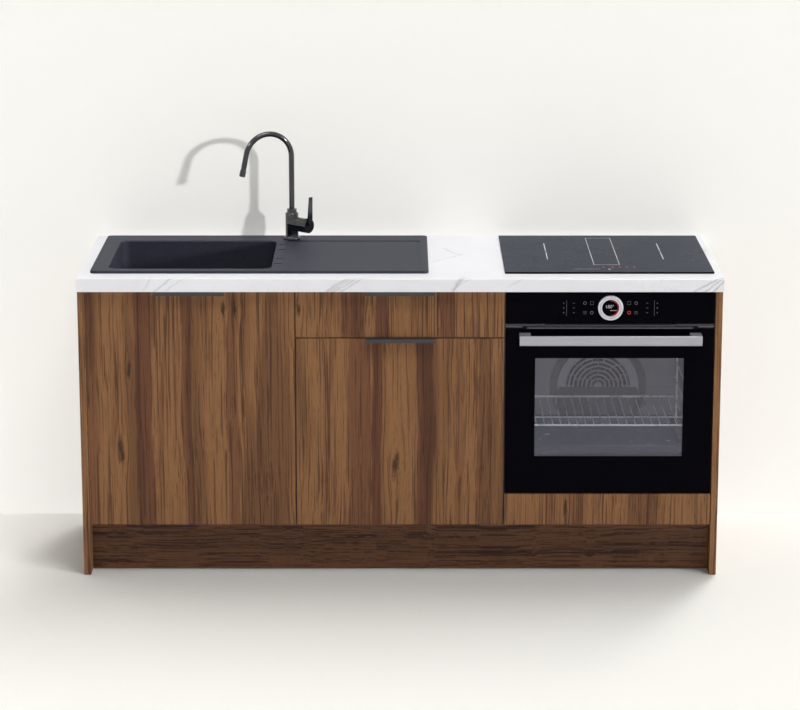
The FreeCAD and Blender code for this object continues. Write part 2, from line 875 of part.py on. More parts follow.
def edge_pull(label, middle_x, top):
    """Bent metal pull that lies on a front's top edge and turns down in front of it."""
    body = make_body("%s - pull_length / 2" % middle_x, "front_y", top)
    sketch = make_sketch(body, "YZ")
    outline(sketch, (("-pull_reach", "pull_metal"), ("-pull_reach", "pull_metal - pull_lip"),
                     ("pull_metal - pull_reach", "pull_metal - pull_lip"), ("pull_metal - pull_reach", "0"),
                     ("front_thickness", "0"), ("front_thickness", "pull_metal")))
    pad(body, sketch, "pull_length")
    soften(body, "pull_bend / 2", lambda edge: near(edge.BoundBox.YMin, -number("pull_reach"))
           and near(edge.BoundBox.YMax, -number("pull_reach")) and near(edge.BoundBox.ZMin,
                                                                        number("pull_metal"))
           and near(edge.BoundBox.XLength, number("pull_length")))
    keep(body, label)


def fronts():
    door("sink_unit_door", "run_left", "front_top")
    door("drawer_unit_door", "drawer_left", "lower_door_top")
    keep(box("drawer_left + front_side_gap", "front_y", "drawer_front_bottom",
             "front_width", "front_thickness", "drawer_front_height"), "drawer_front")
    edge_pull("sink_unit_door_pull", "run_left + unit_width / 2", "front_top")
    edge_pull("drawer_unit_door_pull", "drawer_left + unit_width / 2", "lower_door_top")
    edge_pull("drawer_pull", "drawer_left + unit_width / 2", "front_top")
    hinge_arms()
    for name, unit, top in (("sink_unit", "run_left", "front_top"),
                            ("drawer_unit", "drawer_left", "lower_door_top")):
        hinge_cups(name + "_hinge_cups", unit, top)
        hinge_links(name + "_hinge_links", unit, top)


def drawer_box():
    """Sides, back and inner front on a bottom let in between them."""
    half = "(inner_width / 2 - runner_depth)"
    middle_x = "drawer_left + unit_width / 2"
    left = "%s - %s" % (middle_x, half)
    inside = "2 * %s - 2 * drawer_board" % half
    back_y = "front_back_y + drawer_length"
    keep(group(
        box(left, "front_back_y", "drawer_level", "drawer_board", "drawer_length", "drawer_height"),
        box("%s + %s - drawer_board" % (middle_x, half), "front_back_y", "drawer_level",
            "drawer_board", "drawer_length", "drawer_height"),
        box("%s + drawer_board" % left, "front_back_y", "drawer_level + drawer_bottom_lift",
            inside, "drawer_board", "drawer_height - drawer_bottom_lift"),
        box("%s + drawer_board" % left, "%s - drawer_board" % back_y,
            "drawer_level + drawer_bottom_lift + drawer_bottom_board", inside, "drawer_board",
            "drawer_height - drawer_bottom_lift - drawer_bottom_board"),
        box("%s + drawer_board" % left, "front_back_y + drawer_board", "drawer_level + drawer_bottom_lift",
            inside, "drawer_length - drawer_board", "drawer_bottom_board")), "drawer_box")


def runner_member(start, back, face, half, lap):
    """Pair of channel bars; back, face and lap are places measured from the carcass side."""
    pieces = []
    for side in (-1, 1):
        body = make_body("drawer_left + unit_width / 2", start, "drawer_level + drawer_height / 2")
        sketch = make_sketch(body, "XZ")
        back_face, web_face, tip = ("%d * (inner_width / 2 - (%s))" % (side, inward)
                                    for inward in (back, face, lap))
        outline(sketch, ((back_face, "-(%s)" % half), (tip, "-(%s)" % half), (tip,
                                                                              "runner_metal - (%s)" % half),
                         (web_face, "runner_metal - (%s)" % half), (web_face, "(%s) - runner_metal" % half),
                         (tip, "(%s) - runner_metal" % half), (tip, half), (back_face, half)))
        pad(body, sketch, "runner_length", True)
        pieces.append(body)
    return group(*pieces)


def drawer():
    drawer_box()
    keep(runner_member("carcass_front", "0", "runner_metal", "runner_height / 2",
                       "runner_depth - runner_lap"),
         "drawer_runner_rails")
    keep(runner_member("carcass_front", "runner_metal + runner_play", "2 * runner_metal + runner_play",
                       "runner_height / 2 - runner_metal - runner_play",
                       "runner_depth - runner_lap + runner_play"), "drawer_runner_middles")
    keep(runner_member("front_back_y", "runner_depth", "runner_depth - runner_metal",
                       "runner_height / 2 - 2 * runner_metal - 2 * runner_play", "runner_lap + runner_metal"),
         "drawer_runner_slides")


def sink():
    """Moulded inset sink: rim, skirt, bowl and grooved drainer in one piece."""
    body = make_body("0", "wall", "worktop_top")
    back = "-sink_setback"
    front = "-sink_front_depth"
    rim = make_sketch(body, "XY")
    rounded(rim, "sink_left_x", front, "sink_right_x", back, "sink_corner")
    pad(body, rim, "sink_rim")
    inset = "(sink_lap + cutout_play)"
    skirt = make_sketch(body, "XY")
    rounded(skirt, "sink_left_x + %s" % inset, "%s + %s" % (front, inset),
            "sink_right_x - %s" % inset, "%s - %s" % (back, inset), "cutout_round")
    pad(body, skirt, "sink_skirt", True)
    outer = make_sketch(body, "XY")
    rounded(outer, "bowl_left_x - sink_wall", "-bowl_front_depth - sink_wall",
            "bowl_right_x + sink_wall", "sink_wall - bowl_back_depth", "bowl_corner + sink_wall")
    pad(body, outer, "bowl_depth - sink_rim + sink_wall", True)
    hollow = make_sketch(body, "XY", "-sink_skirt")
    rounded(hollow, "bowl_right_x + 2 * sink_wall", "%s + %s + sink_wall" % (front, inset),
            "sink_right_x - %s - sink_wall" % inset, "%s - %s - sink_wall" % (back, inset), "drainer_round")
    pocket(body, hollow, "sink_skirt", True)
    bowl = make_sketch(body, "XY", "sink_rim")
    rounded(bowl, "bowl_left_x", "-bowl_front_depth", "bowl_right_x", "-bowl_back_depth", "bowl_corner")
    pocket(body, bowl, "bowl_depth")
    drainer = make_sketch(body, "XY", "sink_rim")
    rounded(drainer, "bowl_right_x + drainer_gap", "%s + drainer_front" % front,
            "sink_right_x - drainer_margin", "-bowl_back_depth", "drainer_round")
    pocket(body, drainer, "drainer_sink")
    grooves = make_sketch(body, "XY", "sink_rim")
    for share in GROOVE_SHARES:
        level = "-bowl_front_depth + %g * bowl_width" % share
        rounded(grooves, "bowl_right_x + drainer_gap / 4", "%s - groove_width / 2" % level,
                "bowl_right_x + drainer_gap / 4 + groove_length", "%s + groove_width / 2" % level,
                "groove_width / 3")
    pocket(body, grooves, "groove_sink")
    holes = make_sketch(body, "XY", "sink_rim")
    circle(holes, "bowl_middle_x", "bowl_middle_y - wall", "drain_radius")
    circle(holes, "tap_x", "-tap_setback", "tap_hole")
    pocket(body, holes, "bowl_depth + sink_wall")
    seat = make_sketch(body, "XY", "sink_rim")
    circle(seat, "bowl_middle_x", "bowl_middle_y - wall", "drain_flange + waste_play")
    pocket(body, seat, "bowl_depth + drain_flange_thickness")
    overflow = make_sketch(body, "YZ", "bowl_right_x + 2 * sink_wall")
    circle(overflow, "bowl_middle_y - wall", "sink_rim - overflow_drop", "overflow_radius")
    pocket(body, overflow, "2 * sink_wall")
    plan = ("bowl_left_x", "bowl_right_x", "bowl_back_depth", "bowl_front_depth")
    soften(body, "bowl_floor_round", lambda edge: flat_at(edge, "sink_rim - bowl_depth")
           and within(edge, *plan) and not edge.isClosed())
    soften(body, "bowl_lip_round", lambda edge: flat_at(edge, "sink_rim") and within(edge, *plan))
    soften(body, "sink_edge_round", lambda edge: flat_at(edge, "sink_rim") and on_rim(edge))
    keep(body, "sink")


def on_rim(edge):
    """Whether an edge lies on the sink's outer outline."""
    bounds = edge.BoundBox
    corner = number("sink_corner") + SLACK
    left = number("sink_left_x")
    right = number("sink_right_x")
    back = -number("sink_setback")
    front = -number("sink_front_depth")
    return (bounds.XMax < left + corner or bounds.XMin > right - corner
            or bounds.YMin > back - corner or bounds.YMax < front + corner)


def waste():
    """Drain with its overflow, the strainer basket and the bottle trap to the wall."""
    drain = turned((
        ("drain_step", "0"), ("drain_flange", "0"), ("drain_flange", "-drain_flange_thickness"),
        ("drain_cup", "-drain_flange_thickness"), ("drain_cup", "-drain_cup_depth - drain_cup_wall"),
        ("tail_radius", "-drain_cup_depth - 3 * drain_cup_wall"), ("tail_radius", "-tail_length"),
        ("tail_radius - tail_wall", "-tail_length"),
        ("tail_radius - tail_wall", "-drain_cup_depth - 2 * drain_cup_wall"),
        ("drain_cup - drain_cup_wall", "-drain_cup_depth"),
        ("drain_cup - drain_cup_wall", "-drain_step_depth"), ("drain_step", "-drain_step_depth")),
        "bowl_middle_x", "bowl_middle_y", "bowl_floor")
    overflow_x = "bowl_right_x + sink_wall + overflow_back"
    overflow_z = "deck - overflow_drop"
    joint_z = "bowl_floor - drain_cup_depth + overflow_pipe"
    cover = rod("bowl_right_x - overflow_cover_thickness", "bowl_middle_y", overflow_z, "overflow_cover",
                "overflow_cover_thickness", "x")
    neck = rod("bowl_right_x - overflow_cover_thickness", "bowl_middle_y", overflow_z, "overflow_neck",
               "sink_wall + overflow_back + overflow_cover_thickness", "x")
    down = rod(overflow_x, "bowl_middle_y", "%s - overflow_pipe" % joint_z,
               "overflow_pipe", "%s - (%s) + 2 * overflow_pipe" % (overflow_z, joint_z))
    across = rod("bowl_middle_x + drain_cup - drain_cup_wall / 2", "bowl_middle_y", joint_z,
                 "overflow_neck", "%s - bowl_middle_x - drain_cup + drain_cup_wall / 2" % overflow_x, "x")
    keep(joined(drain, cover, neck, down, across), "sink_drain")

    basket = turned((
        ("0", "-drain_cup_depth + waste_play"), ("basket_floor", "-drain_cup_depth + waste_play"),
        ("drain_cup - drain_cup_wall - 2 * basket_wall", "-basket_rim_drop"),
        ("drain_step - waste_play", "-basket_rim_drop"), ("drain_step - waste_play",
                                                          "basket_wall - basket_rim_drop"),
        ("drain_cup - drain_cup_wall - 3 * basket_wall", "basket_wall - basket_rim_drop"),
        ("basket_floor - basket_wall", "-drain_cup_depth + waste_play + basket_wall"),
        ("basket_knob / 2", "-drain_cup_depth + waste_play + basket_wall"),
        ("basket_knob / 2", "basket_knob_height - drain_cup_depth"),
        ("basket_knob", "basket_knob_height + basket_knob / 2 - drain_cup_depth"),
        ("basket_knob", "basket_knob_height + basket_knob - drain_cup_depth"),
        ("0", "basket_knob_height + basket_knob - drain_cup_depth")),
        "bowl_middle_x", "bowl_middle_y", "bowl_floor")
    holes = make_sketch(basket, "XY", "-drain_cup_depth")
    circle(holes, "basket_hole_ring", "0", "basket_hole")
    drilled = pocket(basket, holes, "3 * basket_wall", True)
    pattern = basket.newObject("PartDesign::PolarPattern", "holes")
    pattern.Originals = [drilled]
    pattern.Axis = (holes, ["N_Axis"])
    pattern.Angle = 360
    pattern.Occurrences = BASKET_HOLES
    basket.Tip = pattern
    keep(basket, "strainer_basket")

    body_top = "bowl_floor - tail_length - trap_sleeve_length / 2"
    outlet_z = "%s - trap_height * (1 - %g)" % (body_top, TRAP_OUTLET_SHARE)
    bottle = turned((
        ("0", "0"), ("trap_cap", "0"), ("trap_cap", "trap_cap_height"), ("trap_radius", "trap_cap_height"),
        ("trap_radius", "trap_height"), ("trap_sleeve", "trap_height"),
        ("trap_sleeve", "trap_height + trap_sleeve_length"),
        ("tail_radius + waste_play", "trap_height + trap_sleeve_length"),
        ("tail_radius + waste_play", "trap_cap_height / 2"), ("0", "trap_cap_height / 2")),
        "bowl_middle_x", "bowl_middle_y", "%s - trap_height" % body_top)
    wall_in = "trap_radius - outlet_wall"
    trap = joined(
        bottle,
        rod("bowl_middle_x", "bowl_middle_y + %s" % wall_in, outlet_z, "outlet_radius",
            "wall - bowl_middle_y - (%s)" % wall_in, "y"),
        rod("bowl_middle_x", "bowl_middle_y + %s" % wall_in, outlet_z, "outlet_nut", "outlet_nut_length",
            "y"))
    bores = rod("bowl_middle_x", "bowl_middle_y", outlet_z, "outlet_radius - outlet_wall",
                "wall - bowl_middle_y + outlet_wall", "y")
    keep(cut(trap, bores), "bottle_trap")


def spout_path():
    """Corners of the spout's run in its own frame, and the way that its mouth points."""
    rise = number("spout_rise - tap_height - tap_collar_height")
    bend = number("spout_bend")
    slant = math.radians(number("spout_slant_angle"))
    middle = V(-bend, 0, rise)
    over = middle + V(-math.cos(slant), 0, math.sin(slant)) * bend
    mouthward = V(-math.sin(slant), 0, -math.cos(slant))
    return V(0, 0, rise), middle + V(0, 0, bend), over, over + mouthward * number("spout_drop"), mouthward


def arc_pipe(radius):
    """Tube that goes up, over in an arc towards -X, and slants down to its mouth."""
    start = V(0, 0, -number("spout_sink"))
    top, crown, over, end, mouthward = spout_path()
    path = Part.Wire([Part.LineSegment(start, top).toShape(), Part.Arc(top, crown, over).toShape(),
                      Part.LineSegment(over, end).toShape()])
    profile = Part.Wire([Part.Circle(start, V(0, 0, 1), radius).toShape()])
    return path.makePipeShell([profile], True, True)


def spun(feature_object, angle_text, sign, x, y, z):
    """Turn a piece about its own upright and set it in its place."""
    turn = FreeCAD.Rotation(V(0, 0, 1), sign * number(angle_text))
    feature_object.Placement = FreeCAD.Placement(V(), turn)
    place(feature_object, x, y, z)


def tap():
    """Mixer: turned body with a side stub, swivel spout, lever hub and lever."""
    body = turned((
        ("0", "-tap_shank_length"), ("tap_shank", "-tap_shank_length"), ("tap_shank", "0"), ("tap_flange",
                                                                                             "0"),
        ("tap_flange", "tap_flange_height - tap_shoulder / 2"), ("tap_flange - tap_shoulder / 2",
                                                                 "tap_flange_height"),
        ("tap_radius", "tap_flange_height"), ("tap_radius", "tap_height - tap_shoulder"),
        ("tap_radius - tap_shoulder", "tap_height"), ("tap_collar", "tap_height"),
        ("tap_collar", "tap_height + tap_collar_height"),
        ("spout_tube + spout_play", "tap_height + tap_collar_height"),
        ("spout_tube + spout_play", "tap_height + tap_collar_height - spout_sink - spout_play"),
        ("0", "tap_height + tap_collar_height - spout_sink - spout_play")))
    stub = rod("0", "0", "hub_level", "hub_radius", "hub_stub", "x")
    bore = rod("hub_stub / 2", "0", "hub_level", "hub_shaft + hub_shaft_play", "hub_stub", "x")
    whole = cut(joined(body, stub), bore)
    spun(whole, "hub_turn_angle", -1, "tap_x", "tap_y", "deck")
    keep(whole, "tap_body")

    spout = shaped(arc_pipe(number("spout_tube")).cut(arc_pipe(number("spout_bore"))))
    spun(spout, "spout_turn_angle", 1, "tap_x", "tap_y", "deck + tap_height + tap_collar_height")
    keep(spout, "tap_spout")

    end, mouthward = spout_path()[-2:]
    long = number("aerator_length")
    round_out = number("aerator_radius")
    nozzle = Part.makeCylinder(round_out, long, end, mouthward)
    nozzle = nozzle.cut(Part.makeCylinder(number("spout_bore"), number("aerator_length - hub_play"),
                                          end + mouthward * long, -mouthward))
    nozzle = nozzle.makeFillet(number("tap_shoulder") / 4, [edge for edge in nozzle.Edges
                               if isinstance(edge.Curve, Part.Circle) and near(edge.Curve.Radius, round_out)])
    aerator = shaped(nozzle)
    spun(aerator, "spout_turn_angle", 1, "tap_x", "tap_y", "deck + tap_height + tap_collar_height")
    keep(aerator, "tap_aerator")

    hub = rod("hub_stub + hub_play", "0", "hub_level", "hub_radius", "hub_end - hub_stub - hub_play", "x")
    shaft = rod("hub_stub / 2 + hub_play", "0", "hub_level", "hub_shaft", "hub_stub", "x")
    slot = box("hub_end - lever_slot - lever_thickness", "-lever_width / 2 - hub_play", "hub_level",
               "lever_thickness + 2 * lever_slot", "lever_width + 2 * hub_play", "2 * hub_radius")
    hub_whole = cut(joined(hub, shaft), slot)
    spun(hub_whole, "hub_turn_angle", -1, "tap_x", "tap_y", "deck")
    keep(hub_whole, "tap_lever_hub")

    blade = make_body()
    foot = "hub_level + hub_play + lever_thickness / 2"
    tip = "hub_level + lever_height"
    stages = ((foot, "hub_end - lever_thickness", "hub_end + lever_thickness", "lever_width / 2"),
              ("hub_level + lever_height * %g" % LEVER_BEND_SHARE, "hub_end", "hub_end + lever_thickness",
               "lever_width / 2"),
              (tip, "hub_end + lever_lean", "hub_end + lever_lean + lever_tip_thickness",
               "lever_tip_width / 2"))
    sections = []
    for level, inner, outer, half in stages:
        sections.append(make_sketch(blade, "XY", level))
        rectangle(sections[-1], inner, "-" + half, outer, half)
    loft = blade.newObject("PartDesign::AdditiveLoft", "loft")
    loft.Profile = sections[0]
    loft.Sections = sections[1:]
    loft.Ruled = True
    pivot = rod("hub_end - lever_thickness / 2", "-lever_width / 2", foot, "lever_thickness / 2",
                "lever_width", "y")
    lever = joined(blade, pivot)
    spun(lever, "hub_turn_angle", -1, "tap_x", "tap_y", "deck")
    keep(lever, "tap_lever")

    under = "deck - sink_rim"
    nut = cut(rod("tap_x", "tap_y", "%s - tap_nut_height - tap_washer_height" % under, "tap_nut",
                  "tap_nut_height + tap_washer_height"),
              rod("tap_x", "tap_y", "%s - 2 * tap_nut_height" % under, "tap_shank + hub_shaft_play",
                  "3 * tap_nut_height"))
    keep(nut, "tap_fixing_nut")


def hob():
    glass = make_body("0", "wall", "worktop_top")
    sketch = make_sketch(glass, "XY")
    rounded(sketch, "hob_middle - hob_width / 2", "-hob_front_depth", "hob_middle + hob_width / 2",
            "-hob_setback", "hob_corner")
    pad(glass, sketch, "hob_glass")
    soften(glass, "hob_edge", lambda edge: flat_at(edge, "hob_glass"))
    keep(glass, "hob_glass")
    casing = make_body("0", "wall", "worktop_top")
    sides = ("hob_middle - hob_cutout_width / 2 + cutout_play",
             "cutout_play - hob_cut_setback - hob_cutout_depth",
             "hob_middle + hob_cutout_width / 2 - cutout_play", "-hob_cut_setback - cutout_play")
    sketch = make_sketch(casing, "XY")
    rounded(sketch, *sides, "cutout_round")
    pad(casing, sketch, "hob_casing_depth", True)
    vents = make_sketch(casing, "XZ", "hob_cut_setback")
    circle(vents, "hob_middle", "-hob_casing_depth / 2", "hob_gland")
    for step in range(VENT_COUNT):
        for side in (-1, 1):
            x = "hob_middle + %d * hob_vent * %d" % (side, VENT_FIRST_PITCH + VENT_PITCHES * step)
            rectangle(vents, "%s - hob_vent / 2" % x, "-hob_casing_depth * %g" % VENT_HIGH_SHARE,
                      "%s + hob_vent / 2" % x, "-hob_casing_depth * %g" % VENT_LOW_SHARE)
    pocket(casing, vents, "hob_casing_metal + cutout_play", True)
    keep(casing, "hob_casing")


def oven_case():
    """Outer steel box with the open front, and the fan motor on its back."""
    left = "oven_middle - oven_case_width / 2"
    outer = box(left, "wall - oven_case_front", "oven_shelf_top", "oven_case_width",
                "oven_case_front - oven_case_back", "oven_case_height")
    inner = box("%s + oven_metal" % left, "wall - oven_case_front - oven_metal",
                "oven_shelf_top + oven_metal",
                "oven_case_width - 2 * oven_metal", "oven_case_front - oven_case_back",
                "oven_case_height - 2 * oven_metal")
    motor = cut(rod("oven_middle", "chamber_back_y", "fan_z", "motor_radius",
                    "wall - oven_case_back - oven_metal - chamber_back_y", "y"),
                rod("oven_middle", "chamber_back_y", "fan_z", "fan_shaft + fan_shaft_play",
                    "motor_depth / 2", "y"))
    keep(group(cut(outer, inner), motor), "oven_casing")


def cavity():
    """Enamelled liner with its front flange, back wall, fan chamber and air baffle."""
    body = make_body("oven_middle", "0", "oven_bottom")
    flange = make_sketch(body, "XZ", "-(carcass_front + flange_metal)")
    rectangle(flange, "flange_margin - oven_width / 2", "flange_bottom",
              "oven_width / 2 - flange_margin", "door_top - oven_bottom")
    pad(body, flange, "flange_metal")
    half = "cavity_width / 2"
    top = "cavity_level + cavity_height"
    liner = make_sketch(body, "XZ", "-(carcass_front + flange_metal)")
    rounded(liner, "-%s - cavity_metal" % half, "cavity_level - cavity_metal", "%s + cavity_metal" % half,
            "%s + cavity_metal" % top, "cavity_round + cavity_metal")
    pad(body, liner, "cavity_back_y + oven_wall - carcass_front - flange_metal", True)
    chamber = make_sketch(body, "XZ", "-(cavity_back_y + oven_wall)")
    circle(chamber, "0", "cavity_level + fan_level", "fan_hole + chamber_wall")
    pad(body, chamber, "chamber_depth", True)
    inside = make_sketch(body, "XZ", "-carcass_front")
    rounded(inside, "-%s" % half, "cavity_level", half, top, "cavity_round")
    pocket(body, inside, "cavity_back_y - carcass_front")
    fan_space = make_sketch(body, "XZ", "-cavity_back_y")
    circle(fan_space, "0", "cavity_level + fan_level", "fan_hole")
    pocket(body, fan_space, "oven_wall + chamber_depth - chamber_wall")
    shaft_hole = make_sketch(body, "XZ", "-cavity_back_y")
    circle(shaft_hole, "0", "cavity_level + fan_level", "fan_shaft + waste_play")
    pocket(body, shaft_hole, "oven_wall + chamber_depth + chamber_wall")
    channel = make_sketch(body, "XZ", "-cavity_back_y")
    circle(channel, "0", "cavity_level + fan_level", "channel_outer")
    circle(channel, "0", "cavity_level + fan_level", "channel_inner")
    pocket(body, channel, "channel_sink")
    baffle = make_sketch(body, "XZ", "-(cavity_back_y - baffle_gap)")
    notch_out = "channel_outer + baffle_notch / 2"
    notch_in = "channel_inner - baffle_notch / 2"
    level = "cavity_level + baffle_level"
    low = "%s - baffle_notch" % level
    side_points = [("-%s" % half, "cavity_level"), (half, "cavity_level"), (half, level)]
    outline(baffle, side_points + [
        (notch_out, level), ("channel_outer", low), ("channel_inner", low), (notch_in, level),
        ("-(%s)" % notch_in, level), ("-channel_inner", low), ("-channel_outer", low),
        ("-(%s)" % notch_out, level), ("-%s" % half, level)])
    pad(body, baffle, "baffle_metal")
    keep(body, "oven_cavity")

    seal = make_body("oven_middle", "0", "oven_bottom")
    ring = make_sketch(seal, "XZ", "-carcass_front")
    gap = "seal_inset"
    rounded(ring, "-%s - %s - seal_width" % (half, gap), "cavity_level - %s - seal_width" % gap,
            "%s + %s + seal_width" % (half, gap), "%s + %s + seal_width" % (top, gap),
            "cavity_round + %s + seal_width" % gap)
    rounded(ring, "-%s - %s" % (half, gap), "cavity_level - %s" % gap, "%s + %s" % (half, gap),
            "%s + %s" % (top, gap), "cavity_round + %s" % gap)
    pad(seal, ring, "front_stand_off - door_rest_gap")
    keep(seal, "oven_door_seal")


def slot_cutters():
    """Curved slots in rings, as the fan cover has, ready to cut from its plate."""
    cutters = []
    depth = number("3 * cover_metal")
    width = number("slot_width")
    axis = V(0, 1, 0)
    base = V(number("oven_middle"), number("cavity_back_y - 2 * cover_metal"), number("fan_z"))
    for ring in range(SLOT_RINGS):
        radius = number("slot_first") + ring * number("slot_pitch")
        count = 2 * max(2, round(math.pi * radius / number("3 * slot_pitch")))
        tube = Part.makeCylinder(radius + width / 2, depth, base, axis)
        tube = tube.cut(Part.makeCylinder(radius - width / 2, depth, base, axis))
        for index in range(count):
            turn = 360 * (index + (ring % 2) / 2) / count
            spoke = Part.makeBox(width / 3, depth, radius + width, base - V(width / 6, 0, 0))
            spoke.rotate(base, axis, turn)
            tube = tube.cut(spoke)
        cutters.extend(tube.Solids)
    return cutters


def fan():
    """Slotted cover, and the bladed wheel on its shaft behind it."""
    base = V(number("oven_middle"), number("cavity_back_y - cover_metal"), number("fan_z"))
    plate = Part.makeCylinder(number("cover_radius"), number("cover_metal"), base, V(0, 1, 0))
    keep(shaped(plate.cut(slot_cutters())), "oven_fan_cover")

    disc_y = number("chamber_back_y - chamber_wall - fan_gap")
    axis = V(0, 1, 0)
    centre = V(number("oven_middle"), disc_y, number("fan_z"))
    wheel = Part.makeCylinder(number("fan_radius"), number("fan_disc"), centre - V(0, number("fan_disc"),
                                                                                   0), axis)
    blades = []
    for index in range(FAN_BLADES):
        blade = Part.makeBox(number("fan_blade"), number("fan_depth"), number("fan_blade_width"),
                             centre + V(0, -number("fan_depth"), number("fan_radius - fan_blade_width")))
        blade.rotate(centre, axis, 360 * index / FAN_BLADES)
        blades.append(blade)
    hub = Part.makeCylinder(number("fan_hub"), number("fan_depth"), centre - V(0, number("fan_depth"), 0),
                            axis)
    shaft_length = number("fan_gap + chamber_wall + motor_depth / 2 - waste_play")
    shaft = Part.makeCylinder(number("fan_shaft"), shaft_length, centre, axis)
    keep(shaped(wheel.fuse(blades + [hub, shaft])), "oven_fan")


def cavity_fittings():
    """Side guides, wire rack and baking tray."""
    post_x = "cavity_width / 2 - guide_wire - waste_play"
    low_z = "cavity_bottom + cavity_round"
    pieces = []
    for side in (-1, 1):
        post = "oven_middle + %d * (%s)" % (side, post_x)
        rail = "oven_middle + %d * (%s - guide_reach)" % (side, post_x)
        link_start = rail if side > 0 else post
        bars = [rod(post, "wall - %s" % depth, low_z, "guide_wire", "cavity_height - 2 * cavity_round")
                for depth in ("guide_front", "guide_back")]
        for level in range(GUIDE_LEVELS):
            z = "tray_z - guide_wire - waste_play + (rack_level - tray_level) * %d" % level
            bars.append(rod(rail, "wall - guide_front - guide_wire", z, "guide_wire",
                            "guide_front - guide_back + 2 * guide_wire", "y"))
            for depth in ("guide_front", "guide_back"):
                bars.append(rod(link_start, "wall - %s" % depth, z, "guide_link", "guide_reach", "x"))
        pieces.append(joined(*bars))
    keep(group(*pieces), "oven_side_guides")

    half = "rack_width / 2"
    length = "rack_front - rack_back"
    middle_z = "rack_z + rack_frame_wire"
    wires = []
    for side in (-1, 1):
        wires.append(rod("oven_middle + %d * (%s)" % (side, half), "wall - rack_front", middle_z,
                         "rack_frame_wire", length, "y"))
    for share in RACK_CROSS_SHARES:
        wire = "rack_frame_wire" if share in (0.0, 1.0) else "rack_cross_wire"
        wires.append(rod("oven_middle - %s" % half, "wall - rack_front + %g * (%s)" % (share, length),
                         middle_z, wire, "rack_width", "x"))
    count = int(number("rack_width") / number("rack_pitch"))
    for index in range(1, count):
        x = "oven_middle - %s + rack_width * %d / %d" % (half, index, count)
        wires.append(rod(x, "wall - rack_front", middle_z, "rack_wire", length, "y"))
    keep(joined(*wires), "oven_wire_rack")

    tray = make_body("oven_middle", "wall", "tray_z")
    rim = make_sketch(tray, "XY")
    rounded(rim, "-tray_width / 2", "-tray_front", "tray_width / 2", "-tray_back", "tray_rim")
    pad(tray, rim, "tray_metal")
    pan = make_sketch(tray, "XY")
    rounded(pan, "tray_rim - tray_width / 2", "tray_rim - tray_front", "tray_width / 2 - tray_rim",
            "-tray_back - tray_rim", "tray_rim")
    pad(tray, pan, "tray_height", True)
    hollow = make_sketch(tray, "XY", "tray_metal")
    edge = "(tray_rim + tray_metal)"
    rounded(hollow, "%s - tray_width / 2" % edge, "%s - tray_front" % edge, "tray_width / 2 - %s" % edge,
            "-tray_back - %s" % edge, "tray_rim - tray_metal")
    pocket(tray, hollow, "tray_height")
    keep(tray, "oven_tray")


